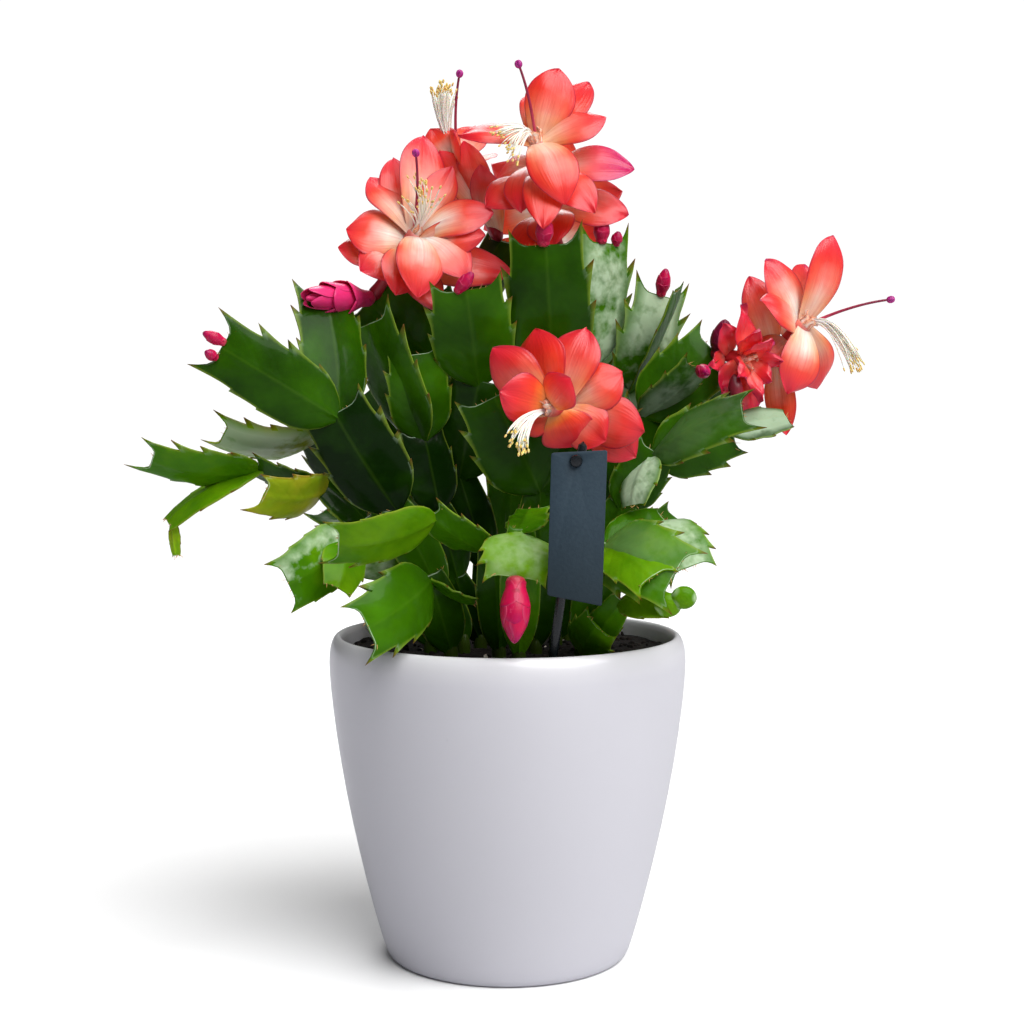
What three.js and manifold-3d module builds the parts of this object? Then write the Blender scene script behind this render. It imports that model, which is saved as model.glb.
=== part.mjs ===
// A potted Christmas cactus in bloom: a glazed pot of peat, many flat-jointed leafy stems that arch out
// of it, tiered blooms with their stamens and styles, buds, and a bare plant tag pinned to its stake.
// Millimetres, +Z up, +X to the right and -Y to the front. The origin is the middle of the pot's foot.
import * as THREE from 'three';
import Module from 'manifold-3d';
import { mergeVertices } from 'three/addons/utils/BufferGeometryUtils.js';

const wasm = await Module();
wasm.setup();

// ---- driving dimensions ----
const potHeight = 119;
const potRadius = 65.5; // the widest part, just under the rim
const footRadius = 42;
const wall = 5;
const floorThickness = 5;
const innerFoot = 41; // the pot's inner radius at its floor
const soilLevel = 113.5;
const rootDepth = 24; // how far a stem's woody foot goes into the peat
const rootRadius = 2.4;
const padMargin = 0.45; // half the thickness of a pad at its edge
const padCore = 1.25; // half its thickness along the midrib
const seatGap = 0.3; // between neighbouring pieces, such as a bud and the pad that bears it

// ---- colours ----
const finish = (color, roughness) => new THREE.MeshStandardMaterial({ color, roughness, metalness: 0 });
const glazeWhite = finish('#dcdae2', 0.3);
const peatBlack = finish('#17120f', 0.95);
const padGreen = finish('#2f6a12', 0.4);
const petalRed = finish('#ee4a33', 0.5);
const budPink = finish('#d3125f', 0.45);
const filamentCream = finish('#f6ead2', 0.6);
const styleWine = finish('#8e1247', 0.45);
const tagSlate = finish('#33424c', 0.55);
const stakeBlack = finish('#101214', 0.3);

const plant = new THREE.Group();

function addMesh(name, geometry, material) {
  const mesh = new THREE.Mesh(geometry, material);
  mesh.name = name;
  plant.add(mesh);
  return mesh;
}

// ---- solids ----
function toSolid(geometry) {
  const bare = new THREE.BufferGeometry().setAttribute('position', geometry.getAttribute('position'));
  if (geometry.index) bare.setIndex(geometry.index);
  const merged = mergeVertices(bare, 1e-4);
  const kept = [];
  const index = merged.index.array;
  for (let i = 0; i < index.length; i += 3) {
    const [a, b, c] = [index[i], index[i + 1], index[i + 2]];
    if (a !== b && b !== c && a !== c) kept.push(a, b, c);
  }
  const vertProperties = new Float32Array(merged.attributes.position.array);
  return new wasm.Manifold(new wasm.Mesh({ numProp: 3, vertProperties, triVerts: new Uint32Array(kept) }));
}

function toGeometry(solid) {
  const mesh = solid.getMesh();
  const geometry = new THREE.BufferGeometry();
  geometry.setAttribute('position', new THREE.BufferAttribute(new Float32Array(mesh.vertProperties), 3));
  geometry.setIndex(new THREE.BufferAttribute(new Uint32Array(mesh.triVerts), 1));
  geometry.computeVertexNormals();
  return geometry;
}

const fuse = (solids) => solids.reduce((a, b) => a.add(b));

function largestBody(solid) {
  return solid.decompose().reduce((a, b) => (a.volume() > b.volume() ? a : b));
}

function boxesMeet(a, b) {
  const [p, q] = [a.boundingBox(), b.boundingBox()];
  return [0, 1, 2].every((k) => p.min[k] < q.max[k] && q.min[k] < p.max[k]);
}

// Every piece is made twice by the same function: at its size, and grown by the clearance. The grown one
// is taken out of the pieces that come after it, so that a bud stands seatGap off the pad that bears it.
const grownPieces = [];

function addPiece(name, make, material) {
  const whole = make(0);
  const near = grownPieces.filter((grown) => boxesMeet(grown, whole));
  const cut = near.reduce((a, b) => a.subtract(b), whole);
  addMesh(name, toGeometry(largestBody(cut)), material);
  grownPieces.push(make(seatGap));
}

// ---- placing ----
// The plant is laid out as it is seen from the front: x and z are read on a picture plane that stands
// eyeDistance from the eye, and depth then slides the point along its line of sight to that y.
const eyeDistance = 640;
const eyeX = 1.64;
const eyeZ = 206.9;
const pictureZ = 158.87; // where the sight axis meets the picture plane
const eyeTilt = THREE.MathUtils.degToRad(3.916);

function seen(x, z, depth) {
  const u = (x - eyeX) / eyeDistance;
  const v = (z - pictureZ) / eyeDistance;
  const forward = Math.cos(eyeTilt) + v * Math.sin(eyeTilt);
  const rise = -Math.sin(eyeTilt) + v * Math.cos(eyeTilt);
  const reach = (eyeDistance + depth) / forward;
  return new THREE.Vector3(eyeX + reach * u, depth, eyeZ + reach * rise);
}

// ---- blades ----
// A closed blade from rows of points across it, each { at, normal, half }. Both faces are split into
// triangles alike, and rows that share their middle point give the teeth.
function bladeSolid(rows) {
  const positions = [];
  const slots = new Map();
  const corner = (point, face) => {
    if (!slots.has(point)) {
      slots.set(point, positions.length / 3);
      positions.push(...point.at.clone().addScaledVector(point.normal, point.half).toArray());
      positions.push(...point.at.clone().addScaledVector(point.normal, -point.half).toArray());
    }
    return slots.get(point) + (face > 0 ? 0 : 1);
  };
  const index = [];
  const edges = new Map();
  const tri = (a, b, c) => {
    if (a === b || b === c || a === c) return;
    index.push(corner(a, 1), corner(b, 1), corner(c, 1));
    index.push(corner(a, -1), corner(c, -1), corner(b, -1));
    [[a, b], [b, c], [c, a]].forEach(([p, q]) => edges.set(corner(p, 1) + '_' + corner(q, 1), [p, q]));
  };
  for (let r = 0; r + 1 < rows.length; r++) {
    const [low, high] = [rows[r], rows[r + 1]];
    tri(low[0], high[0], low[1]);
    tri(high[0], high[1], low[1]);
    if (low.length < 3) continue;
    tri(low[1], high[2], low[2]);
    tri(low[1], high[1], high[2]);
  }
  for (const [key, [p, q]] of edges) {
    if (edges.has(key.split('_').reverse().join('_'))) continue;
    index.push(corner(q, 1), corner(p, 1), corner(p, -1));
    index.push(corner(q, 1), corner(p, -1), corner(q, -1));
  }
  const geometry = new THREE.BufferGeometry();
  geometry.setAttribute('position', new THREE.Float32BufferAttribute(positions, 3));
  geometry.setIndex(index);
  return toSolid(geometry);
}

// A blade's own frame: its base and tip, the side it shows, and how much its back arches.
function bladeFrame(base, tip, faces, arch, roll = 0) {
  const axis = tip.clone().sub(base);
  const length = axis.length();
  axis.normalize();
  const face = faces.clone().addScaledVector(axis, -faces.dot(axis)).normalize();
  face.applyAxisAngle(axis, THREE.MathUtils.degToRad(roll));
  const side = new THREE.Vector3().crossVectors(axis, face);
  return { base, tip, axis, length, face, side, arch };
}

function bladePoint(frame, along, across, half, cup) {
  const rise = frame.arch * 4 * along * (1 - along) * frame.length;
  const slope = frame.arch * 4 * (1 - 2 * along);
  const tangent = frame.axis.clone().addScaledVector(frame.face, slope).normalize();
  const normal = new THREE.Vector3().crossVectors(frame.side, tangent);
  const at = frame.base.clone().addScaledVector(frame.axis, along * frame.length);
  at.addScaledVector(frame.face, rise).addScaledVector(frame.side, across);
  at.addScaledVector(normal, -cup * across * across);
  return { at, normal, half };
}

// Half a blade's outline in millimetres, from its base to its tip, moved outwards by grow at every corner.
function swollen(outline, length, width, grow) {
  const points = outline.map(([along, share]) => new THREE.Vector2(along * length, share * width));
  const last = points.length - 1;
  const before = new THREE.Vector2(points[1].x, -points[1].y);
  const after = points[last].y === 0 ? new THREE.Vector2(points[last - 1].x, -points[last - 1].y)
    : new THREE.Vector2(length, 0);
  const outward = (p, q) => new THREE.Vector2(p.y - q.y, q.x - p.x).normalize();
  return points.map((point, i) => {
    const first = point.y === 0 ? outward(before, point) : outward(point, points[1]);
    const one = i > 0 ? outward(points[i - 1], point) : first;
    const two = i < last ? outward(point, points[i + 1]) : outward(point, after);
    const reach = grow / Math.max(0.3, 1 + one.dot(two));
    return point.clone().addScaledVector(one.add(two), reach);
  });
}

// The outline holds half of the blade: how far along it, half its width there (of the full width), and the
// point of the midrib that it joins.
function blade(frame, width, outline, { edge, core, cup, grow }) {
  const sides = swollen(outline, frame.length, width, grow);
  const middles = new Map();
  const middle = (along) => {
    const half = (along === 0 || along === 1 ? (edge + core) / 2 : core) + grow;
    const shift = along === 0 ? -grow : along === 1 ? grow : 0;
    const at = along + shift / frame.length;
    if (!middles.has(along)) middles.set(along, bladePoint(frame, at, 0, half, cup));
    return middles.get(along);
  };
  const beside = (at, way) => bladePoint(frame, at.x / frame.length, way * at.y, edge + grow, cup);
  return bladeSolid(outline.map(([, share, rib], i) => (share === 0
    ? [middle(rib), middle(rib), middle(rib)]
    : [beside(sides[i], 1), middle(rib), beside(sides[i], -1)])));
}

// ---- rods ----
// A closed rod through points, with its own radius at each of them.
function rod(points, radii, sides, grow) {
  const positions = [];
  const index = [];
  const first = points[1].clone().sub(points[0]).normalize();
  let across = new THREE.Vector3(0.31, 0.11, 0.94).cross(first).normalize();
  const last = points.length - 1;
  points.forEach((point, i) => {
    const way = points[Math.min(i + 1, last)].clone().sub(points[Math.max(i - 1, 0)]).normalize();
    across = across.addScaledVector(way, -across.dot(way)).normalize();
    const other = new THREE.Vector3().crossVectors(way, across);
    const end = i === 0 ? -grow : i === last ? grow : 0;
    for (let k = 0; k < sides; k++) {
      const turn = (2 * Math.PI * k) / sides;
      const at = point.clone().addScaledVector(way, end);
      at.addScaledVector(across, Math.cos(turn) * (radii[i] + grow));
      at.addScaledVector(other, Math.sin(turn) * (radii[i] + grow));
      positions.push(...at.toArray());
    }
  });
  for (let i = 0; i < last; i++) {
    for (let k = 0; k < sides; k++) {
      const [a, b] = [i * sides + k, i * sides + ((k + 1) % sides)];
      index.push(a, b, b + sides, a, b + sides, a + sides);
    }
  }
  for (let k = 1; k + 1 < sides; k++) {
    index.push(0, k + 1, k, last * sides, last * sides + k, last * sides + k + 1);
  }
  const geometry = new THREE.BufferGeometry();
  geometry.setAttribute('position', new THREE.Float32BufferAttribute(positions, 3));
  geometry.setIndex(index);
  return toSolid(geometry);
}

// ---- plant tag ----
const tagThickness = 0.9;
const tagCorners = [[16, 180.5], [36.5, 181.5], [34.5, 124.5], [14.5, 128.5]];
const tagDepth = -66;
const pegAt = [25, 177.5];
const pegRadius = 1.3;
const stakeRadius = 1.7;
const stakeFoot = [15, -51];
const stakeHead = [28.5, 183];
const stakeSunk = 30; // how far the stake goes into the peat
const stakeRadii = [1, 1.5, stakeRadius, stakeRadius]; // at its tip, the peat, its neck and its top
const stakeNeck = 8; // how far under the peg the neck is
const tagClear = seatGap + 0.2; // between the tag and the stake
const shankFront = 1.6; // how far in front of the tag's middle the peg's shank ends
const headRadius = 2.1;
const headFaces = [0.9, 2.2]; // the back and front of the peg's head, in front of the tag's middle

function makeTag(grow) {
  const corners = tagCorners.map(([x, z]) => seen(x, z, tagDepth));
  const middle = corners.reduce((a, b) => a.clone().add(b)).multiplyScalar(1 / corners.length);
  const outline = new THREE.Shape(corners.map((p) => (
    new THREE.Vector2(p.x + Math.sign(p.x - middle.x) * grow, p.z + Math.sign(p.z - middle.z) * grow))));
  const peg = seen(...pegAt, tagDepth);
  if (!grow) outline.holes.push(new THREE.Path().absarc(peg.x, peg.z, pegRadius + seatGap, 0, 2 * Math.PI));
  const depth = tagThickness + 2 * grow;
  const geometry = new THREE.ExtrudeGeometry(outline, { depth, bevelEnabled: false, curveSegments: 8 });
  return toSolid(geometry.rotateX(Math.PI / 2).translate(0, tagDepth + depth / 2, 0));
}

// The stake stands behind the tag, and its peg goes through the tag's hole to a flat head.
function makeStake(grow) {
  const behind = tagDepth + tagThickness / 2 + tagClear + stakeRadius;
  const foot = new THREE.Vector3(stakeFoot[0], stakeFoot[1], soilLevel - stakeSunk);
  const atSoil = new THREE.Vector3(stakeFoot[0], stakeFoot[1], soilLevel);
  const neck = seen(pegAt[0], pegAt[1] - stakeNeck, behind);
  const top = seen(...stakeHead, behind);
  const peg = seen(...pegAt, tagDepth);
  const shank = [behind, tagDepth - shankFront].map((y) => new THREE.Vector3(peg.x, y, peg.z));
  const head = headFaces.map((front) => new THREE.Vector3(peg.x, tagDepth - front, peg.z));
  return fuse([
    rod([foot, atSoil, neck, top], stakeRadii, 6, grow),
    rod(shank, [pegRadius, pegRadius], 8, grow),
    rod(head, [headRadius, headRadius], 8, grow),
  ]);
}

addPiece('tag_stake', makeStake, stakeBlack);
addMesh('tag', toGeometry(makeTag(0)), tagSlate);
grownPieces.push(makeTag(seatGap));

// ---- pads ----
// Half an outline: how far along the pad, half its width there (of the full width) and the midrib point
// that it joins.
const toothedOutline = [
  [0, 0, 0],
  [0.26, 0.42, 0.3],
  [0.6, 0.53, 0.3],
  [0.565, 0.44, 0.3],
  [0.87, 0.52, 0.6],
  [0.83, 0.42, 0.6],
  [1.12, 0.42, 0.6],
  [0.98, 0.2, 0.6],
  [1, 0, 1],
];
const plainOutline = [
  [0, 0, 0],
  [0.28, 0.42, 0.45],
  [0.74, 0.52, 0.45],
  [0.7, 0.42, 0.45],
  [1.1, 0.4, 0.45],
  [0.98, 0.2, 0.45],
  [1, 0, 1],
];
const stalkOutline = [
  [0, 0.16, 0],
  [0.6, 0.5, 0.6],
  [1, 0.24, 1],
];

// ---- stems ----
// Each stem: its foot on the peat, then its pads as [bearing pad, x, z, depth, width, roll, arch], where
// the bearing pad -1 is the foot.
const sunk = 2.2; // how far a pad's base is set back into the pad that bears it
const footRise = 1.5; // how far over the peat the lowest pads start
const rootTop = 2.5; // how far over the peat a stem's woody foot ends
const stalkWidth = 18; // pads up to this width are stalks
const plainWidth = 22; // and under this one, plain
const stems = [
  ['stem_left_upper', [-16, -8], [
    [-1, -25, 130, -12, 15, 15, 0.03],
    [0, -41, 161, -22, 18, 10, 0.04],
    [1, -63, 195, -30, 29, -8, 0.05],
    [2, -104.5, 219, -40, 28, 4, 0.06],
    [2, -67, 238, -14, 26, 36, 0.05],
    [0, -50, 158, 6, 18, 0, 0.05],
    [5, -71, 187, -2, 22, -38, 0.05],
    [6, -104, 187, -16, 24, -58, 0.1],
  ]],
  ['stem_left_long', [-28, -6], [
    [-1, -40, 137, -4, 15, 10, 0.05],
    [0, -53, 156, -6, 18, 30, 0.05],
    [1, -68, 169, -10, 18, 55, 0.06],
    [2, -92, 175, -16, 20, -60, 0.06],
    [3, -130, 178, -30, 22, -48, 0.08],
    [3, -124, 155, -22, 18, 62, 0.07],
    [5, -121, 143, -22, 5, 20, 0.02],
    [2, -89, 165, -36, 20, -38, 0.1],
    [0, -60, 150, -28, 18, -20, 0.06],
    [8, -80, 132.5, -46, 24, -22, 0.1],
    [8, -62, 131, -46, 18, -30, 0.08],
  ]],
  ['stem_front_left', [-3, -24], [
    [-1, -6, 147, -40, 15, 10, 0.06],
    [0, -28, 158, -52, 19, -48, 0.06],
    [1, -62, 147, -66, 22, -42, 0.1],
  ]],
  ['stem_rim_left', [-20, -24], [
    [-1, -29, 136, -38, 18, 12, 0.06],
    [0, -51, 116.5, -66, 25, -12, 0.1],
    [0, -12, 126, -36, 14, 70, 0.08],
  ]],
  ['stem_mid_left', [-10, 2], [
    [-1, -19, 135, -6, 15, 0, 0.04],
    [0, -26, 161, -8, 18, 20, 0.04],
    [1, -31, 187, -10, 21, 25, 0.04],
    [2, -34, 216.5, -16, 23, 12, 0.05],
    [2, -50, 228, -14, 26, -42, 0.05],
  ]],
  ['stem_centre', [-3, 12], [
    [-1, -8, 140, 6, 16, 0, 0.04],
    [0, -18, 173, 2, 18, 10, 0.04],
    [1, -10, 207, -12, 26, -8, 0.05],
    [2, -15, 240, -24, 30, 0, 0.05],
    [1, -22, 213, 8, 21, 24, 0.05],
    [4, -51, 236, 4, 27, -8, 0.06],
    [4, -27, 240, 14, 21, 30, 0.05],
    [4, -2, 258, 20, 21, -30, 0.05],
  ]],
  ['stem_tall', [8, 6], [
    [-1, 9, 140, 0, 16, 0, 0.03],
    [0, 14, 171, -4, 18, 0, 0.04],
    [1, 17, 204, -10, 27, 5, 0.04],
    [2, 14, 256.5, -20, 31, 0, 0.05],
    [1, 30, 213, 8, 21, 10, 0.05],
    [4, 36, 257, 2, 29, 38, 0.06],
    [4, 20, 248, 18, 21, -30, 0.05],
  ]],
  ['stem_right_upper', [18, 10], [
    [-1, 25, 140, 8, 16, 0, 0.04],
    [0, 36, 173, 16, 18, 5, 0.04],
    [1, 46, 205, 14, 24, 10, 0.05],
    [2, 56, 238, 10, 27, 22, 0.06],
    [2, 62, 240, -6, 18, 76, 0.03],
    [0, 40, 170, -2, 18, 5, 0.04],
    [5, 50, 196, -6, 21, 5, 0.05],
    [6, 75, 218, -4, 26, -12, 0.05],
    [6, 69, 212, -20, 20, 48, 0.05],
    [6, 84, 203, 12, 22, 40, 0.05],
  ]],
  ['stem_right_low', [28, -10], [
    [-1, 32, 138, -16, 15, 0, 0.04],
    [0, 42, 162, -20, 18, 0, 0.05],
    [1, 54, 181, -22, 20, 10, 0.05],
    [2, 86, 196, -38, 22, -50, 0.07],
    [2, 82, 189, -20, 25, 12, 0.05],
    [4, 102, 193, -14, 15, -40, 0.05],
    [2, 46, 161, -34, 18, 55, 0.08],
  ]],
  ['stem_front_right', [26, -28], [
    [-1, 36, 148, -38, 16, 0, 0.06],
    [0, 61, 136, -62, 28, -20, 0.16],
    [0, 57, 156, -30, 18, -30, 0.06],
    [2, 67, 139, -46, 22, -25, 0.12],
    [0, 53, 135, -64, 21, -35, 0.1],
    [-1, 42, 127, -42, 13, 0, 0.05],
    [5, 60, 124, -60, 14, -45, 0.08],
    [-1, 33, 117, -44, 19, -25, 0.07],
  ]],
  ['stem_front', [4, -36], [
    [-1, 5, 153, -50, 15, 0, 0.06],
    [0, 3, 135, -60, 25, 0, 0.2],
    [0, 9, 160, -44, 19, -50, 0.04],
  ]],
  ['stem_mid_front', [10, -14], [
    [-1, 12, 140, -18, 15, 0, 0.04],
    [0, 12, 168, -24, 18, 0, 0.05],
    [1, -5, 201, -32, 31, 5, 0.05],
    [1, 36, 198, -26, 24, -10, 0.05],
  ]],
  ['stem_back_left', [-18, 24], [
    [-1, -27, 140, 28, 16, 160, 0.04],
    [0, -38, 172, 34, 21, 120, 0.05],
    [1, -52, 202, 44, 24, 140, 0.06],
    [1, -30, 206, 50, 24, 200, 0.06],
    [3, -36, 234, 60, 25, 150, 0.06],
    [0, -46, 158, 50, 19, 220, 0.08],
    [5, -66, 160, 72, 22, 240, 0.12],
    [5, -50, 142, 78, 22, 190, 0.14],
  ]],
  ['stem_back', [2, 34], [
    [-1, 1, 144, 44, 16, 180, 0.04],
    [0, 2, 178, 52, 22, 200, 0.05],
    [1, 8, 212, 48, 26, 130, 0.06],
    [1, -10, 204, 76, 24, 210, 0.1],
    [2, 12, 240, 56, 26, 170, 0.06],
    [0, 14, 160, 72, 20, 160, 0.1],
    [5, 16, 150, 98, 24, 180, 0.14],
  ]],
  ['stem_back_right', [22, 26], [
    [-1, 32, 142, 30, 16, 200, 0.04],
    [0, 44, 172, 36, 21, 230, 0.05],
    [1, 60, 200, 44, 25, 210, 0.06],
    [1, 36, 206, 48, 24, 150, 0.06],
    [3, 44, 232, 60, 24, 200, 0.06],
    [0, 50, 156, 50, 19, 140, 0.08],
    [5, 62, 156, 66, 22, 120, 0.12],
    [5, 50, 144, 78, 22, 170, 0.14],
  ]],
];

const padBody = { edge: padMargin, core: padCore, cup: 0.008 };
const padFrames = {};

function makeStem([name, [footX, footY], pads]) {
  const toViewer = new THREE.Vector3(0, -1, 0);
  const foot = new THREE.Vector3(footX, footY, soilLevel + footRise);
  const frames = [];
  for (const [bearer, x, z, depth, width, roll, arch] of pads) {
    const seat = frames[bearer];
    const start = seat ? seat.tip.clone().addScaledVector(seat.axis, -sunk) : foot.clone();
    const frame = bladeFrame(start, seen(x, z, depth), toViewer, arch, roll);
    frame.width = width;
    frames.push(frame);
  }
  padFrames[name] = frames;
  const make = (grow) => {
    const ends = [soilLevel - rootDepth, soilLevel + rootTop];
    const root = ends.map((z) => new THREE.Vector3(footX, footY, z));
    const solids = frames.map((frame) => {
      const broad = frame.width < plainWidth ? plainOutline : toothedOutline;
      const outline = frame.width <= stalkWidth ? stalkOutline : broad;
      return blade(frame, frame.width, outline, { ...padBody, grow });
    });
    return fuse([rod(root, [rootRadius, rootRadius], 5, grow), ...solids]);
  };
  addPiece(name, make, padGreen);
}

stems.forEach(makeStem);

// ---- blooms ----
// Each bloom: the pad that bears it, the mouth of its tube, then its petals as [x, z, depth, width, level,
// arch, roll]. Level 1 is the mouth, a lower level is further down the tube, and a petal may have no roll.
const petalOutline = [
  [0, 0],
  [0.42, 0.47],
  [0.74, 0.42],
  [1, 0],
];
const petalHalf = 0.34; // half the thickness of a petal
const petalCup = -0.01;
const plugRadius = 1.3; // the filaments' common foot, which stands in the mouth
const filamentRadius = 0.32;
const styleRadius = 0.45;
const bloomSunk = 0.6; // how far a tube's base is set into its pad
const tubeShares = [0, 0.12, 0.2, 0.6, 1]; // along the tube, which is swollen at its base
const tubeRadii = [1.6, 2.8, 2.2, 2.6, 3.6];
const petalBack = 1.5; // a petal starts this far behind its level
const petalOut = 1.2; // and this far out from the middle of the tube
const plugEnds = [-4, 1.2]; // from the mouth
const styleSunk = 3;
const knobEnds = [1.4, -0.2, -1.4]; // the stigma, back from the end of the style
const knobRadii = [0.5, 1.4, 0.7];
const filamentRise = 0.7; // how far over the mouth a filament starts
const filamentSpread = 0.75; // of the plug's radius
const filamentBow = 0.12; // of the filament's length

const blooms = [
  {
    name: 'bloom_left',
    bearer: ['stem_centre', 5],
    mouth: [-33, 261, -4],
    petals: [
      [-31, 296.5, 12, 17, 1, 0.12],
      [-50.5, 281, 6, 16, 1, 0.12],
      [-42, 288, 14, 14, 0.8, 0.12],
      [-59, 262, -6, 19, 0.9, 0.16],
      [-62, 255.5, -4, 14, 0.6, 0.16],
      [-54, 247, -14, 16, 0.7, 0.2],
      [-41, 238, -20, 16, 0.8, 0.22],
      [-33, 237, -24, 17, 1, 0.26],
      [-26, 232.5, -18, 14, 0.6, 0.2],
      [-14, 244, -16, 16, 1, 0.22],
      [-5, 268, -8, 16, 1, 0.16],
      [-8, 260, -12, 14, 0.75, 0.16],
      [2, 246, -2, 16, 0.5, 0.16],
      [-20, 285, 4, 12, 1, 0.12],
    ],
    style: [[-33, 275, -8], [-33.5, 290, -12]],
    filaments: [[-29, 269, -18], [-40, 269, -12], [-34, 284, -8], [-23, 274, -14]],
  },
  {
    name: 'bloom_behind',
    bearer: ['stem_centre', 7],
    mouth: [-19.5, 287, 18],
    petals: [
      [-28, 299, 16, 14, 1, 0.1],
      [-12, 300, 28, 14, 1, 0.1],
      [-7, 288, 34, 16, 0.9, 0.16],
      [-31, 286, 34, 16, 0.9, 0.16],
      [-20, 276, 44, 16, 0.8, 0.2],
      [-3, 272, 26, 14, 0.45, 0.18],
      [-24, 266, 38, 14, 0.45, 0.18],
      [-19, 298, 6, 13, 1, 0.1],
    ],
    style: [[-19, 303, 16], [-17.5, 319, 13]],
    filaments: [[-28, 312, 10], [-23, 316, 8], [-18, 311, 18], [-25, 313, 18]],
  },
  {
    name: 'bloom_top',
    bearer: ['stem_tall', 6],
    mouth: [10, 295, -4],
    petals: [
      [19, 321, 0, 17, 1, 0.1],
      [29.5, 316, 10, 16, 0.95, 0.12],
      [36, 303, -2, 17, 1, 0.14],
      [46.5, 284, -2, 17, 0.75, 0.18],
      [21, 271, -24, 17, 1, 0.24],
      [-18, 296, -6, 13, 1, 0.16],
      [44, 267, 2, 16, 0.5, 0.18],
      [5, 268, -18, 16, 0.85, 0.2],
      [-8, 270, -8, 16, 0.7, 0.18],
      [4, 252, -8, 14, 0.45, 0.14],
      [17, 256, -12, 17, 0.5, 0.18],
      [14, 313, 16, 16, 1, 0.1],
      [-4, 280, 22, 14, 0.8, 0.16],
    ],
    style: [[8, 309, -8], [4, 322.5, -10]],
    filaments: [[1, 287, -22], [-6, 302, -14], [-4, 295, -20], [6, 287, -26]],
  },
  {
    name: 'bloom_right',
    bearer: ['stem_right_upper', 9],
    mouth: [109, 228, -2],
    petals: [
      [118.5, 260, 2, 16, 1, 0.12, 30],
      [94, 251, -4, 16, 0.95, 0.18],
      [88, 245, 4, 13, 0.6, 0.14],
      [92, 236, -14, 16, 0.9, 0.24],
      [94, 213, -8, 14, 0.8, 0.18],
      [102, 202, -12, 16, 1, 0.18],
      [102, 187, -4, 11, 0.6, 0.1, 40],
      [108, 249, 14, 16, 0.9, 0.18],
      [99, 224, 20, 16, 0.8, 0.2],
      [113, 204, 10, 16, 1, 0.16],
    ],
    style: [[124, 233, -5], [140, 236.5, -7]],
    filaments: [[124, 212, -10], [129, 210, -4], [130, 216, -10], [125, 219, -1]],
  },
  {
    name: 'bloom_low',
    bearer: ['stem_mid_front', 3],
    mouth: [14, 197, -46],
    petals: [
      [-5, 219, -42, 16, 1, 0.16],
      [-3, 203, -56, 16, 1, 0.14],
      [10, 226, -38, 19, 0.9, 0.16],
      [29, 226, -36, 17, 0.8, 0.16],
      [42, 210, -40, 17, 0.7, 0.16],
      [50, 188, -42, 17, 0.6, 0.14],
      [47, 179, -36, 16, 0.45, 0.14],
      [25, 183, -42, 18, 0.9, 0.14],
      [36, 185, -44, 16, 0.75, 0.14],
      [2, 192, -40, 14, 0.8, 0.16],
      [23, 208, -54, 14, 1, 0.2],
    ],
    style: [],
    filaments: [[1, 184, -62], [6, 180, -60], [9, 182, -56], [0, 190, -62]],
  },
  {
    name: 'bloom_wilted',
    bearer: ['stem_right_upper', 7],
    mouth: [88, 214, -14],
    petals: [
      [86, 235, -16, 13, 1, 0.06],
      [78, 202, -16, 13, 0.9, 0.1],
      [89, 193, -14, 13, 1, 0.06],
      [97, 222, -22, 12, 1, 0.1],
      [96, 206, -16, 12, 1, 0.08],
      [79, 228, -18, 12, 0.6, 0.1],
    ],
    style: [],
    filaments: [],
  },
  {
    name: 'bloom_back',
    bearer: ['stem_back', 4],
    mouth: [16, 270, 74],
    petals: [
      [20, 298, 76, 16, 1, 0.1],
      [-6, 286, 78, 16, 1, 0.16],
      [-9, 262, 86, 16, 1, 0.2],
      [10, 246, 94, 17, 1, 0.22],
      [34, 252, 90, 16, 1, 0.2],
      [42, 276, 78, 16, 1, 0.16],
      [-8, 250, 70, 14, 0.5, 0.16],
      [24, 244, 80, 14, 0.5, 0.16],
      [36, 262, 64, 14, 0.5, 0.16],
    ],
    style: [[17, 278, 84], [18, 290, 96]],
    filaments: [[12, 274, 98], [22, 270, 98], [24, 280, 94], [14, 284, 94]],
  },
];

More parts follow.
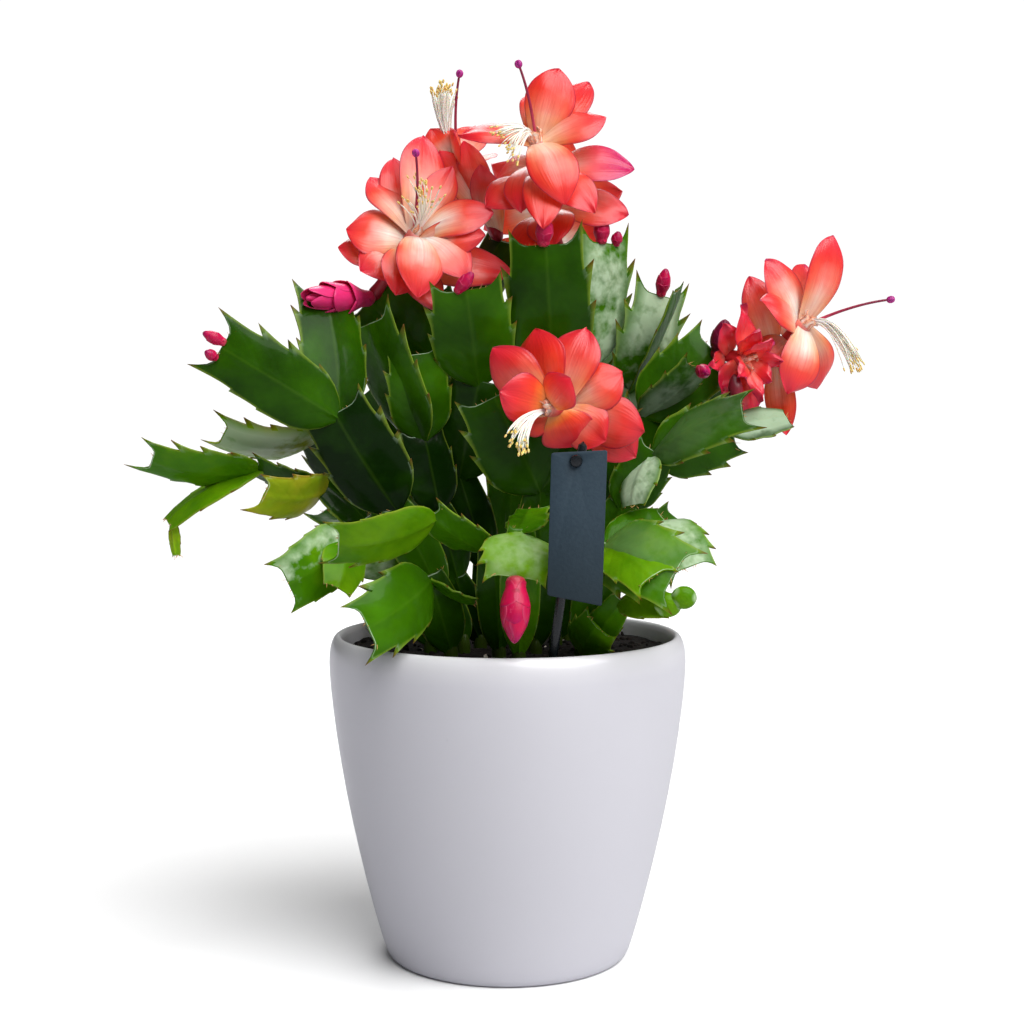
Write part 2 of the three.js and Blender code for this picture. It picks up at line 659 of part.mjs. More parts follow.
function makeBloom({ name, bearer: [stem, pad], mouth: mouthAt, petals, style, filaments }) {
  const seat = padFrames[stem][pad];
  const foot = seat.tip.clone().addScaledVector(seat.axis, -bloomSunk);
  const mouth = seen(...mouthAt);
  const way = mouth.clone().sub(foot).normalize();
  const along = (share) => foot.clone().lerp(mouth, share);
  const tube = tubeShares.map(along);
  const makePetals = (grow) => {
    const blades = petals.map(([x, z, depth, width, level, arch, roll = 0]) => {
      const end = seen(x, z, depth);
      const out = end.clone().sub(mouth).projectOnPlane(way).normalize();
      const start = along(level).addScaledVector(way, -petalBack).addScaledVector(out, petalOut);
      const frame = bladeFrame(start, end, way, arch, roll);
      const beside = (at, across) => bladePoint(frame, at, across, petalHalf + grow, petalCup);
      return bladeSolid(swollen(petalOutline, frame.length, width, grow).map((corner) => {
        const left = beside(corner.x / frame.length, corner.y);
        return [left, corner.y > 0.01 ? beside(corner.x / frame.length, -corner.y) : left];
      }));
    });
    return fuse([rod(tube, tubeRadii, 6, grow), ...blades]);
  };
  const plug = plugEnds.map((rise) => mouth.clone().addScaledVector(way, rise));
  const styleLine = [mouth.clone().addScaledVector(way, -styleSunk), ...style.map((p) => seen(...p))];
  const makeStyle = (grow) => {
    const end = styleLine[styleLine.length - 1];
    const back = styleLine[styleLine.length - 2].clone().sub(end).normalize();
    const knob = knobEnds.map((reach) => end.clone().addScaledVector(back, reach));
    const stalk = rod(styleLine, styleLine.map(() => styleRadius), 4, grow);
    return fuse([stalk, rod(knob, knobRadii, 4, grow)]);
  };
  const makeFilament = (end, grow) => {
    const out = end.clone().sub(mouth).projectOnPlane(way).normalize();
    const start = mouth.clone().addScaledVector(way, filamentRise);
    start.addScaledVector(out, plugRadius * filamentSpread);
    const middle = start.clone().lerp(end, 0.5).addScaledVector(way, start.distanceTo(end) * filamentBow);
    return rod([start, middle, end], [filamentRadius, filamentRadius, filamentRadius * 1.8], 3, grow);
  };
  const makeStamens = (grow) => fuse([
    rod(plug, [plugRadius, plugRadius], 5, grow),
    ...filaments.map((p) => makeFilament(seen(...p), grow)),
  ]);
  if (style.length) addPiece(name + '_style', makeStyle, styleWine);
  if (filaments.length) addPiece(name + '_stamens', makeStamens, filamentCream);
  addPiece(name + '_petals', makePetals, petalRed);
}

blooms.forEach(makeBloom);

// ---- buds ----
// Each bud: its pad, where along the pad's tip it sits, its point and how wide it is.
const buds = [
  ['bud_left_lower', ['stem_left_upper', 3], 2, [-111.5, 224.5, -42], 4],
  ['bud_left_lowest', ['stem_left_upper', 3], -4, [-110.5, 217.5, -44], 3.4],
  ['bud_half_open', ['stem_centre', 5], 2, [-74, 237, -26], 9],
  ['bud_top_left', ['stem_centre', 3], -4, [-12.5, 246.5, -26], 4.5],
  ['bud_tall', ['stem_tall', 3], -1, [14, 267.5, -23], 6],
  ['bud_tall_right', ['stem_tall', 5], -2, [34.5, 267, 0], 5.6],
  ['bud_tall_small', ['stem_tall', 5], 4.5, [40.6, 261.5, 3], 3.8],
  ['bud_right', ['stem_right_upper', 3], 0, [58, 248, 7], 5],
  ['bud_hanging', ['stem_front', 1], 0, [2.5, 110.5, -68], 10],
  ['bud_wine', ['stem_right_upper', 7], 5, [79.5, 229.5, -10], 9],
  ['bud_side', ['stem_right_upper', 8], 2, [73, 209.5, -30], 4.5],
  ['bud_back_left', ['stem_back_left', 4], 0, [-38, 248, 64], 6],
  ['bud_back_right', ['stem_back_right', 2], 0, [72, 212, 46], 7],
  ['bud_back_low', ['stem_back', 6], 0, [18, 132, 110], 9],
];

const budSunk = 0.8; // how far a bud's base is set into its pad
const budShares = [0, 0.18, 0.5, 0.82, 1]; // along the bud
const budSwell = [0.34, 0.3, 0.5, 0.34, 0.08]; // its radius there, of its width

function makeBud([name, [stem, pad], across, point, width]) {
  const seat = padFrames[stem][pad];
  const foot = seat.tip.clone().addScaledVector(seat.side, across).addScaledVector(seat.axis, -budSunk);
  const tip = seen(...point);
  const line = budShares.map((share) => foot.clone().lerp(tip, share));
  addPiece(name, (grow) => rod(line, budSwell.map((part) => part * width), 5, grow), budPink);
}

buds.forEach(makeBud);

// ---- pot ----
// Radius and height, outside from the foot up over the rounded rim, then inside down to the floor.
const potOutside = [
  [footRadius, 0],
  [footRadius + 2.9, 1.2],
  [51.8, 26],
  [57.2, 49],
  [61.4, 71.5],
  [64.4, 93.5],
  [potRadius, 108],
  [potRadius - 0.8, 115.5],
  [potRadius - 2.6, potHeight],
  [potRadius - wall, 116.4],
];
const potInside = [
  [59.5, 94],
  [52.4, 49],
];
const potProfile = [[0, 0], ...potOutside, ...potInside, [innerFoot, floorThickness], [0, floorThickness]];

const turned = (profile, sides) => (
  new THREE.LatheGeometry(profile.map(([r, z]) => new THREE.Vector2(r, z)), sides).rotateX(Math.PI / 2));

// ---- peat ----
const peatGap = 0.5; // between the peat and the pot's wall, and a little more at its floor
const peatCrown = 50; // the radius at which the peat starts to fall to the wall
const peatFall = 1.2;

function makePeat() {
  const profile = [
    [0, floorThickness + seatGap],
    [innerFoot - peatGap - seatGap, floorThickness + seatGap],
    ...potInside.map(([radius, z]) => [radius - peatGap, z]).reverse(),
    [potRadius - wall - peatGap, soilLevel - peatFall],
    [peatCrown, soilLevel],
    [0, soilLevel],
  ];
  return toSolid(turned(profile, 24));
}

addMesh('pot', turned(potProfile, 30), glazeWhite);
addPiece('peat', makePeat, peatBlack);

export default plant;
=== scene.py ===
import math
import random

import bmesh
import bpy
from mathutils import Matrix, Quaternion, Vector, noise


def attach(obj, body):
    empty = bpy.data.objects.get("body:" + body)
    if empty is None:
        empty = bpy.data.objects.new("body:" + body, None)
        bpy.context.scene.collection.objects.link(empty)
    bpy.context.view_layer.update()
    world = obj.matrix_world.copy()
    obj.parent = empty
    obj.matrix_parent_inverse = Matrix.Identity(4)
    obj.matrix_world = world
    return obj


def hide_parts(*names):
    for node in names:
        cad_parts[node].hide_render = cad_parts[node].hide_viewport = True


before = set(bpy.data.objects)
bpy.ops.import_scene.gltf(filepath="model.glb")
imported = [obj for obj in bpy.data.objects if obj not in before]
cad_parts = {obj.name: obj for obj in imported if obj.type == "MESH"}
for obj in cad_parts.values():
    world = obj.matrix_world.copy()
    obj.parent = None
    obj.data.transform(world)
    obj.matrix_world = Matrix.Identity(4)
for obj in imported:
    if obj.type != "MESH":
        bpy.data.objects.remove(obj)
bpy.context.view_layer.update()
chance = random.Random(11)
mm = 0.001  # every size below is in millimetres, and a finished piece is brought to metres
weld = 0.0005  # points this close are merged into one
toFront = Vector((0, -1, 0))
soilLevel = 113.5  # where the stems and the stake leave the peat

# The layout is read as it is seen from the front, on a picture plane at the eye's distance.
eye = {
    "x": 1.64,
    "z": 206.9,
    "distance": 640,
    "pictureZ": 158.87,
    "tilt": math.radians(3.916),
    "lens": 61.59,
}


def seen(x, z, depth):
    u = (x - eye["x"]) / eye["distance"]
    v = (z - eye["pictureZ"]) / eye["distance"]
    forward = math.cos(eye["tilt"]) + v * math.sin(eye["tilt"])
    rise = -math.sin(eye["tilt"]) + v * math.cos(eye["tilt"])
    reach = (eye["distance"] + depth) / forward
    return Vector((eye["x"] + reach * u, depth, eye["z"] + reach * rise))


# How far a value has gone from its start to its end, from 0 to 1.
def progress(value, start, end):
    return min(1, max(0, (value - start) / (end - start)))


def lump(*place):
    return noise.noise(Vector(place))


# A colour written as "#rrggbb", brought to linear light.
def paint(code):
    parts = [int(code[i:i + 2], 16) / 255 for i in (1, 3, 5)]
    return tuple(p / 12.92 if p <= 0.04045 else ((p + 0.055) / 1.055) ** 2.4 for p in parts) + (1,)


# A value that runs between a material's nodes. The plain signs calculate with it.
class Wire:
    def __init__(self, socket):
        self.socket = socket

    def __add__(self, other):
        return calc("ADD", self, other)

    def __sub__(self, other):
        return calc("SUBTRACT", self, other)

    def __rsub__(self, other):
        return calc("SUBTRACT", other, self)

    def __mul__(self, other):
        return calc("MULTIPLY", self, other)

    def __pow__(self, other):
        return calc("POWER", self, other)


def addNode(tree, kind, **settings):
    node = tree.nodes.new("ShaderNode" + kind)
    for key, value in settings.items():
        setattr(node, key, value)
    return node


# A wire is linked to a socket, and a number or a colour is set on it.
def plug(value, socket):
    if isinstance(value, Wire):
        socket.id_data.links.new(value.socket, socket)
    else:
        socket.default_value = paint(value) if isinstance(value, str) else value


def calc(operation, *values):
    wire = next(value for value in values if isinstance(value, Wire))
    node = addNode(wire.socket.id_data, "Math", operation=operation)
    for value, socket in zip(values, node.inputs):
        plug(value, socket)
    return Wire(node.outputs[0])


# From the first colour to the second as the share goes from 0 to 1.
def blend(share, first, second):
    node = addNode(share.socket.id_data, "Mix", data_type="RGBA", clamp_factor=True)
    for value, socket in ((share, "Factor"), (first, "A"), (second, "B")):
        plug(value, node.inputs[socket])
    return Wire(node.outputs["Result"])


def ramp(value, *stops):
    node = addNode(value.socket.id_data, "ValToRGB")
    marks = node.color_ramp.elements
    while len(marks) < len(stops):
        marks.new(0.5)
    for mark, (place, color) in zip(marks, stops):
        mark.position = place
        mark.color = paint(color) if isinstance(color, str) else (color, color, color, 1)
    plug(value, node.inputs[0])
    return Wire(node.outputs[0])


# Noise on the piece's own place in space, so a pattern stays put on the plant.
def grain(material, scale, detail=3, place=None):
    tree = material.node_tree
    node = addNode(tree, "TexNoise")
    place = place or Wire(addNode(tree, "TexCoord").outputs["Object"])
    for value, socket in ((scale, "Scale"), (detail, "Detail"), (place, "Vector")):
        plug(value, node.inputs[socket])
    return Wire(node.outputs[0])


# One direction of a place in space: X, Y or Z.
def placeAlong(tree, axis, space="Object"):
    split = addNode(tree, "SeparateXYZ")
    plug(Wire(addNode(tree, "TexCoord").outputs[space]), split.inputs[0])
    return Wire(split.outputs[axis])


# Each point of a blade, tube or bud carries four marks: how far along it is, how far across, its tone and an
# accent. The accent is low for a painted sheen, a painted reflection of light, and high for a dried tip on a
# pad, low for a magenta flush and high for the tube on a bloom, and high for the pollen on a stamen, the
# stigma on a style and the foot of a bud.
def readMarks(material):
    mark = addNode(material.node_tree, "Attribute", attribute_name="mark")
    split = addNode(material.node_tree, "SeparateColor")
    plug(Wire(mark.outputs["Color"]), split.inputs[0])
    along, across, tone = [Wire(output) for output in split.outputs]
    edge = calc("ABSOLUTE", across - 0.5) * 2
    return along, across, edge, tone, Wire(mark.outputs["Alpha"])


def newMaterial(name, **sockets):
    material = bpy.data.materials.new(name)
    material.use_nodes = True
    shader = material.node_tree.nodes["Principled BSDF"]
    for socket, value in sockets.items():
        plug(value, shader.inputs[socket.replace("_", " ")])
    return material


# A material's colour, its bumps by their height, strength and depth, and its roughness where that varies.
def dress(material, color, height, strength, depth, rough=None):
    shader = material.node_tree.nodes["Principled BSDF"]
    plug(color, shader.inputs["Base Color"])
    if rough:
        plug(rough, shader.inputs["Roughness"])
    bump = addNode(material.node_tree, "Bump")
    for value, socket in ((strength, "Strength"), (depth, "Distance"), (height, "Height")):
        plug(value, bump.inputs[socket])
    plug(Wire(bump.outputs[0]), shader.inputs["Normal"])
    return material


def addObject(name, data):
    thing = bpy.data.objects.new(name, data)
    bpy.context.scene.collection.objects.link(thing)
    return thing


# A piece is built in millimetres, then welded, brought to metres and hung on the root, and the node that it
# replaces is hidden.
def startPiece():
    bm = bmesh.new()
    return bm, bm.verts.layers.float_color.new("mark")


def finishPiece(bm, node, material, sharp=60, smoothing=0):
    bmesh.ops.remove_doubles(bm, verts=bm.verts, dist=weld)
    bmesh.ops.recalc_face_normals(bm, faces=bm.faces)
    bmesh.ops.scale(bm, vec=(mm, mm, mm), verts=bm.verts)
    for face in bm.faces:
        face.smooth = True
    mesh = bpy.data.meshes.new(node + "_shaped")
    bm.to_mesh(mesh)
    bm.free()
    mesh.set_sharp_from_angle(angle=math.radians(sharp))
    mesh.materials.append(material)
    piece = addObject(node + "_shaped", mesh)
    if smoothing:
        rounder = piece.modifiers.new("rounder", "SUBSURF")
        rounder.levels = rounder.render_levels = smoothing
    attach(piece, "root")
    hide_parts(node)


# A new shape made round the origin is sized, turned and moved to its spot.
def settle(bm, verts, size, turn, spot):
    bmesh.ops.scale(bm, vec=size, verts=verts)
    bmesh.ops.rotate(bm, cent=(0, 0, 0), matrix=turn.to_matrix(), verts=verts)
    bmesh.ops.translate(bm, vec=spot, verts=verts)


# A flat closed slab of quads, each corner with its row, its column and the side it lies on.
def bladeBlank(bm, rows, columns):
    before = len(bm.faces)
    lower = bmesh.ops.create_grid(bm, x_segments=rows - 1, y_segments=columns - 1, size=0.5)["verts"]
    lifted = bmesh.ops.extrude_face_region(bm, geom=list(bm.faces)[before:])["geom"]
    upper = [item for item in lifted if isinstance(item, bmesh.types.BMVert)]
    return [
        (vert, round((vert.co.x + 0.5) * (rows - 1)), round((vert.co.y + 0.5) * (columns - 1)), side)
        for verts, side in ((lower, -1), (upper, 1))
        for vert in verts
    ]


# Where a blade lies: its line from base to tip, the way it faces and how far it arches, of its length.
def bladeFrame(base, tip, faces, arch, roll=0):
    axis = (tip - base).normalized()
    face = (faces - axis * faces.dot(axis)).normalized()
    face.rotate(Quaternion(axis, math.radians(roll)))
    return {
        "base": base,
        "tip": tip,
        "axis": axis,
        "length": (tip - base).length,
        "face": face,
        "side": axis.cross(face),
        "arch": arch,
    }


def bladePlace(blade, along, across, lift, cup):
    rise = blade["arch"] * 4 * along * (1 - along) * blade["length"]
    slope = blade["arch"] * 4 * (1 - 2 * along)
    tangent = (blade["axis"] + blade["face"] * slope).normalized()
    normal = blade["side"].cross(tangent)
    spot = blade["base"] + blade["axis"] * (along * blade["length"]) + blade["face"] * rise
    return spot + blade["side"] * across + normal * (lift - cup * across * across)


# Points along a curve that leaves the first point towards the middle one and ends at the last.
def bentLine(first, middle, last, count):
    steps = [i / (count - 1) for i in range(count)]
    return [first * (1 - s) ** 2 + middle * (2 * s * (1 - s)) + last * s * s for s in steps]


# A grid rolled round its line. A radius of nothing closes the tube at an end, and the seam is welded later.
def rollTube(bm, points, radii, sides, marks):
    mark = bm.verts.layers.float_color["mark"]
    count = len(points)
    across = (points[1] - points[0]).normalized().orthogonal().normalized()
    rings = []
    for i, point in enumerate(points):
        way = (points[min(i + 1, count - 1)] - points[max(i - 1, 0)]).normalized()
        across = (across - way * across.dot(way)).normalized()
        rings.append((point, across.copy(), way.cross(across)))
    grid = bmesh.ops.create_grid(bm, x_segments=count - 1, y_segments=sides, size=0.5)["verts"]
    for vert in grid:
        i = round((vert.co.x + 0.5) * (count - 1))
        k = round((vert.co.y + 0.5) * sides) % sides
        point, one, two = rings[i]
        angle = 2 * math.pi * k / sides
        vert.co = point + (one * math.cos(angle) + two * math.sin(angle)) * radii[i]
        vert[mark] = marks(i / (count - 1), k / sides)


def plainMarks(along, around):
    return along, around, 0, 0


# Each stem: where its foot stands, its tone from dark green to straw, and its pads as bearer, x, z, depth,
# width, roll and arch. Bearer -1 is the foot, any other is the number of the pad below. By its number a pad
# may have a tone of its own, in some pads painted shade and painted light, a share of painted sheen (a
# painted reflection of light on its skin), deep teeth, and sides that are bare of them.
stems = {
    "stem_left_upper": {
        "foot": (-16, -8), "tone": 0.24,
        # Pad 2 is darkened as painted shade, for it faces away from the light, and pad 7 is made pale to
        # light its painted sheen.
        "tonesAndShade": {2: 0.06, 3: 0.22, 7: 0.8}, "paintedSheen": {7: 1}, "jagged": (3,), "bare": {3: (-1,)},
        "pads": [
            (-1, -25, 130, -12, 15, 15, 0.03), (0, -41, 161, -22, 18, 10, 0.04),
            (1, -63, 195, -30, 29, -8, 0.05), (2, -104.5, 219, -40, 28, 4, 0.06),
            (2, -67, 238, -14, 26, 36, 0.05), (0, -50, 158, 6, 18, 0, 0.05),
            (5, -71, 187, -2, 22, -38, 0.05), (6, -104, 187, -16, 24, -58, 0.1),
        ],
    },
    "stem_left_long": {
        "foot": (-28, -6), "tone": 0.32,
        "tonesAndShade": {4: 0.56, 5: 0.61, 6: 0.8, 7: 0.93, 8: 0.6, 9: 0.52, 10: 0.56},
        "paintedSheen": {9: 0.9, 8: 0.8}, "jagged": (4,),
        "bare": {4: (-1,), 9: (-1, 1)},
        "pads": [
            (-1, -40, 137, -4, 15, 10, 0.05), (0, -53, 156, -6, 18, 30, 0.05),
            (1, -68, 169, -10, 18, 55, 0.06), (2, -92, 175, -16, 20, -60, 0.06),
            (3, -130, 178, -30, 22, -48, 0.08), (3, -124, 155, -22, 18, 62, 0.07),
            (5, -121, 143, -22, 5, 20, 0.02), (2, -89, 165, -36, 20, -38, 0.1),
            (0, -60, 150, -28, 18, -20, 0.06), (8, -80, 132.5, -46, 24, -22, 0.1),
            (8, -62, 131, -46, 18, -30, 0.08),
        ],
    },
    "stem_front_left": {
        "foot": (-3, -24), "tone": 0.3,
        "tonesAndShade": {0: 0.25}, "bare": {2: (1,)},
        "pads": [
            (-1, -6, 147, -40, 15, 10, 0.06), (0, -28, 158, -52, 19, -48, 0.06),
            (1, -62, 147, -66, 22, -42, 0.1),
        ],
    },
    "stem_rim_left": {
        "foot": (-20, -24), "tone": 0.3,
        "tonesAndShade": {0: 0.2, 1: 0.38},
        "pads": [
            (-1, -29, 136, -38, 18, 12, 0.06), (0, -51, 116.5, -66, 25, -12, 0.1),
            (0, -12, 126, -36, 14, 70, 0.08),
        ],
    },
    "stem_mid_left": {
        "foot": (-10, 2), "tone": 0.16,
        "tonesAndShade": {3: 0.28, 4: 0.3},
        "pads": [
            (-1, -19, 135, -6, 15, 0, 0.04), (0, -26, 161, -8, 18, 20, 0.04),
            (1, -31, 187, -10, 21, 25, 0.04), (2, -34, 216.5, -16, 23, 12, 0.05),
            (2, -50, 228, -14, 26, -42, 0.05),
        ],
    },
    "stem_centre": {
        "foot": (-3, 12), "tone": 0.2,
        "tonesAndShade": {3: 0.32, 5: 0.32},
        "pads": [
            (-1, -8, 140, 6, 16, 0, 0.04), (0, -18, 173, 2, 18, 10, 0.04),
            (1, -10, 207, -12, 26, -8, 0.05), (2, -15, 240, -24, 30, 0, 0.05),
            (1, -22, 213, 8, 21, 24, 0.05), (4, -51, 236, 4, 27, -8, 0.06),
            (4, -27, 240, 14, 21, 30, 0.05), (4, -2, 258, 20, 21, -30, 0.05),
        ],
    },
    "stem_tall": {
        "foot": (8, 6), "tone": 0.2,
        "tonesAndShade": {5: 0.42}, "paintedSheen": {5: 0.85, 4: 0.6}, "jagged": (5,),
        "pads": [
            (-1, 9, 140, 0, 16, 0, 0.03), (0, 14, 171, -4, 18, 0, 0.04),
            (1, 17, 204, -10, 27, 5, 0.04), (2, 14, 256.5, -20, 31, 0, 0.05),
            (1, 30, 213, 8, 21, 10, 0.05), (4, 36, 257, 2, 29, 38, 0.06),
            (4, 20, 248, 18, 21, -30, 0.05),
        ],
    },
    "stem_right_upper": {
        "foot": (18, 10), "tone": 0.28,
        "tonesAndShade": {3: 0.4}, "paintedSheen": {3: 0.85, 2: 0.6, 8: 0.4}, "jagged": (3,),
        "pads": [
            (-1, 25, 140, 8, 16, 0, 0.04), (0, 36, 173, 16, 18, 5, 0.04),
            (1, 46, 205, 14, 24, 10, 0.05), (2, 56, 238, 10, 27, 22, 0.06),
            (2, 62, 240, -6, 18, 76, 0.03), (0, 40, 170, -2, 18, 5, 0.04),
            (5, 50, 196, -6, 21, 5, 0.05), (6, 75, 218, -4, 26, -12, 0.05),
            (6, 69, 212, -20, 20, 48, 0.05), (6, 84, 203, 12, 22, 40, 0.05),
        ],
    },
    "stem_right_low": {
        "foot": (28, -10), "tone": 0.32,
        "paintedSheen": {3: 0.22, 5: 0.7, 6: 0.9},
        "pads": [
            (-1, 32, 138, -16, 15, 0, 0.04), (0, 42, 162, -20, 18, 0, 0.05),
            (1, 54, 181, -22, 20, 10, 0.05), (2, 86, 196, -38, 22, -50, 0.07),
            (2, 82, 189, -20, 25, 12, 0.05), (4, 102, 193, -14, 15, -40, 0.05),
            (2, 46, 161, -34, 18, 55, 0.08),
        ],
    },
    "stem_front_right": {
        "foot": (26, -28), "tone": 0.34,
        "knobs": ((58.6, 124.9, -61, 4.6), (64.4, 127.6, -62, 4.3)),  # young pads, still round
        "tonesAndShade": {1: 0.54}, "paintedSheen": {3: 0.8, 1: 0.24},
        "pads": [
            (-1, 36, 148, -38, 16, 0, 0.06), (0, 61, 136, -62, 28, -20, 0.16),
            (0, 57, 156, -30, 18, -30, 0.06), (2, 67, 139, -46, 22, -25, 0.12),
            (0, 53, 135, -64, 21, -35, 0.1), (-1, 42, 127, -42, 13, 0, 0.05),
            (5, 60, 124, -60, 14, -45, 0.08), (-1, 33, 117, -44, 19, -25, 0.07),
        ],
    },
    "stem_front": {
        "foot": (4, -36), "tone": 0.4,
        "tonesAndShade": {1: 0.64}, "paintedSheen": {1: 0.4},
        "pads": [
            (-1, 5, 153, -50, 15, 0, 0.06), (0, 3, 135, -60, 25, 0, 0.2),
            (0, 9, 160, -44, 19, -50, 0.04),
        ],
    },
    "stem_mid_front": {
        "foot": (10, -14), "tone": 0.18,
        "pads": [
            (-1, 12, 140, -18, 15, 0, 0.04), (0, 12, 168, -24, 18, 0, 0.05),
            (1, -5, 201, -32, 31, 5, 0.05), (1, 36, 198, -26, 24, -10, 0.05),
        ],
    },
    "stem_back_left": {
        "foot": (-18, 24), "tone": 0.26,
        "pads": [
            (-1, -27, 140, 28, 16, 160, 0.04), (0, -38, 172, 34, 21, 120, 0.05),
            (1, -52, 202, 44, 24, 140, 0.06), (1, -30, 206, 50, 24, 200, 0.06),
            (3, -36, 234, 60, 25, 150, 0.06), (0, -46, 158, 50, 19, 220, 0.08),
            (5, -66, 160, 72, 22, 240, 0.12), (5, -50, 142, 78, 22, 190, 0.14),
        ],
    },
    "stem_back": {
        "foot": (2, 34), "tone": 0.26,
        "pads": [
            (-1, 1, 144, 44, 16, 180, 0.04), (0, 2, 178, 52, 22, 200, 0.05),
            (1, 8, 212, 48, 26, 130, 0.06), (1, -10, 204, 76, 24, 210, 0.1),
            (2, 12, 240, 56, 26, 170, 0.06), (0, 14, 160, 72, 20, 160, 0.1),
            (5, 16, 150, 98, 24, 180, 0.14),
        ],
    },
    "stem_back_right": {
        "foot": (22, 26), "tone": 0.26,
        "pads": [
            (-1, 32, 142, 30, 16, 200, 0.04), (0, 44, 172, 36, 21, 230, 0.05),
            (1, 60, 200, 44, 25, 210, 0.06), (1, 36, 206, 48, 24, 150, 0.06),
            (3, 44, 232, 60, 24, 200, 0.06), (0, 50, 156, 50, 19, 140, 0.08),
            (5, 62, 156, 66, 22, 120, 0.12), (5, 50, 144, 78, 22, 170, 0.14),
        ],
    },
}

# Each kind of pad: how its body widens and narrows, and its teeth, the last of which is the horn at its end.
# A tooth is where it starts, then how far out it stands (of the width) and forward (of the length).
padShapes = {
    "stalk": {
        "rise": 0.5, "full": 0.46, "end": 0.27, "base": 0.14,
        "teeth": [(0.34, 0.01, 0.015), (0.66, 0.03, 0.03), (1, 0.02, 0.04)],
    },
    "plain": {
        "rise": 0.42, "full": 0.47, "end": 0.34, "base": 0.08,
        "teeth": [(0.26, 0.015, 0.03), (0.48, 0.045, 0.055), (0.73, 0.065, 0.065), (1, 0.05, 0.14)],
    },
    "toothed": {
        "rise": 0.42, "full": 0.48, "end": 0.37, "base": 0.07,
        "teeth": [(0.3, 0.025, 0.035), (0.55, 0.065, 0.07), (0.79, 0.09, 0.09), (1, 0.06, 0.15)],
    },
    "jagged": {
        "rise": 0.4, "full": 0.42, "end": 0.32, "base": 0.07,
        "teeth": [(0.28, 0.06, 0.06), (0.54, 0.12, 0.11), (0.77, 0.14, 0.13), (1, 0.08, 0.17)],
    },
}
pad = {
    "stalkWidth": 18,  # a pad up to this wide is a stalk
    "toothedWidth": 22,  # and one from this width on is toothed
    "sunk": 2.2,  # how far a pad's base is set back into the pad that bears it
    "baseCurve": (2.4, 0.7),  # how soon a body widens from its base, and how roundly
    "cup": 0.008,
    "cupChange": (-0.003, 0.005),
    "edge": 0.22,  # half its thickness at the edge, then what the blade and the midrib add to that
    "blade": 0.55,
    "rib": 0.45,
    "ribWidth": 0.11,
    "thinFrom": 0.88,
    "thinBy": 0.55,
    "wave": 0.55,
    "notch": 0.025,
    "firstBend": 1.4,  # crowds the rows towards a pad's base
    "toothSizes": (0.75, 1.25),
    "bareTeeth": 0.2,
    "toothCurve": (2.2, 3),  # how late a tooth rises outwards and forwards
    "hornFrom": 0.45,  # how far across the end of a pad its horns begin
    "hornCurve": 3.2,
    "driedFrom": 0.75,  # how far up a tooth its dried tip begins
    "dried": 0.7,
    "driedEnd": 0.3,
    "paintedSheenAccent": 0.2,
    "columns": (0, 0.13, 0.29, 0.46, 0.63, 0.78, 0.9, 1),
    "steps": (0, 0.18, 0.4, 0.62, 0.8, 0.93, 1),
    "toneChange": (-0.05, 0.05),
    "lit": ((-15, -65), (180, 140), 0.34),  # painted light: low pads far to the front are lighter, by depth and height
    "shaded": ((-24, -10), (205, 185), -0.14),  # and painted shade: those within the plant are darker, up to a depth
    "shadedUpTo": 24,
}
bristle = {
    "count": 5,
    "spread": 0.3,
    "start": 0.985,
    "lean": 1.4,
    "bow": 0.2,
    "length": (1.2, 2.8),
    "radii": (0.16, 0.13, 0.1, 0),
}
youngPad = {"size": (1, 0.55, 0.9), "tone": 0.62, "dried": 0.32}
woodyFoot = {
    "rise": 1.5,
    "depth": 24,
    "above": (4, 6),
    "radii": (0, 2.2, 2.6, 1.9, 0),
    # The foot's near black green is partly the old stem's own colour and partly painted shade, low in the pot
    # under the pads.
    "tone": 0.02,
    "dried": 0.28,
}


def padMaterial():
    skin = newMaterial("padSkin", Roughness=0.34, Subsurface_Weight=0.04, Subsurface_Scale=0.002,
                       Specular_IOR_Level=0.05, Coat_Weight=0.1, Coat_Roughness=0.1)
    along, _, edge, tone, accent = readMarks(skin)
    green = ramp(tone + (grain(skin, 55, 4) - 0.5) * 0.5, (0.03, "#0a2001"), (0.26, "#2a5301"),
                 (0.52, "#467f03"), (0.78, "#80b20e"), (0.96, "#bcb82a"))
    green = blend(ramp(edge, (0, 1), (0.07, 0)) * 0.1, green, "#6f9a30")
    fine = grain(skin, 420, 4)
    green = blend(fine * 0.22, green, "#0f3306")
    seam = ramp(tone, (0.5, "#93ad3a"), (0.9, "#8a4a26"))
    green = blend(ramp(edge, (0.93, 0), (1, 1)) * 0.5, green, seam)
    # Painted sheen: pale mottled patches that stand for light reflected off the glossy skin, away from the
    # edges.
    sheenPatches = ramp(grain(skin, 34, 2) * 0.7 + grain(skin, 260) * 0.3, (0.41, 0), (0.54, 1))
    paintedSheen = ramp(accent, (0.03, 0), (0.2, 1), (0.23, 0)) * sheenPatches * ramp(edge, (0.6, 1), (0.95, 0.2))
    green = blend(paintedSheen * 0.92, green, blend(tone, "#acc8a6", "#e8f8d4"))
    brown = ramp(accent, (0.6, "#5e2412"), (1, "#c79a62"))
    green = blend(ramp(accent, (0.25, 0), (0.7, 1)), green, brown)
    swing = calc("ABSOLUTE", calc("SINE", (along * 5.2 + edge * -1.6) * math.pi))
    vein = 1 - swing ** 9
    height = vein * 0.2 + fine * 0.5 + grain(skin, 130, 2) * 1.2
    return dress(skin, green, height, 0.35, 0.0006, fine * 0.2 + 0.24)


def bodyShare(shape, along):
    rising = min(along / shape["rise"], 1)
    soon, roundly = pad["baseCurve"]
    share = shape["full"] * (1 - (1 - rising) ** soon) ** roundly
    narrowed = (shape["full"] - shape["end"]) * progress(along, shape["rise"], 1) ** 2
    return max(share - narrowed, shape["base"])


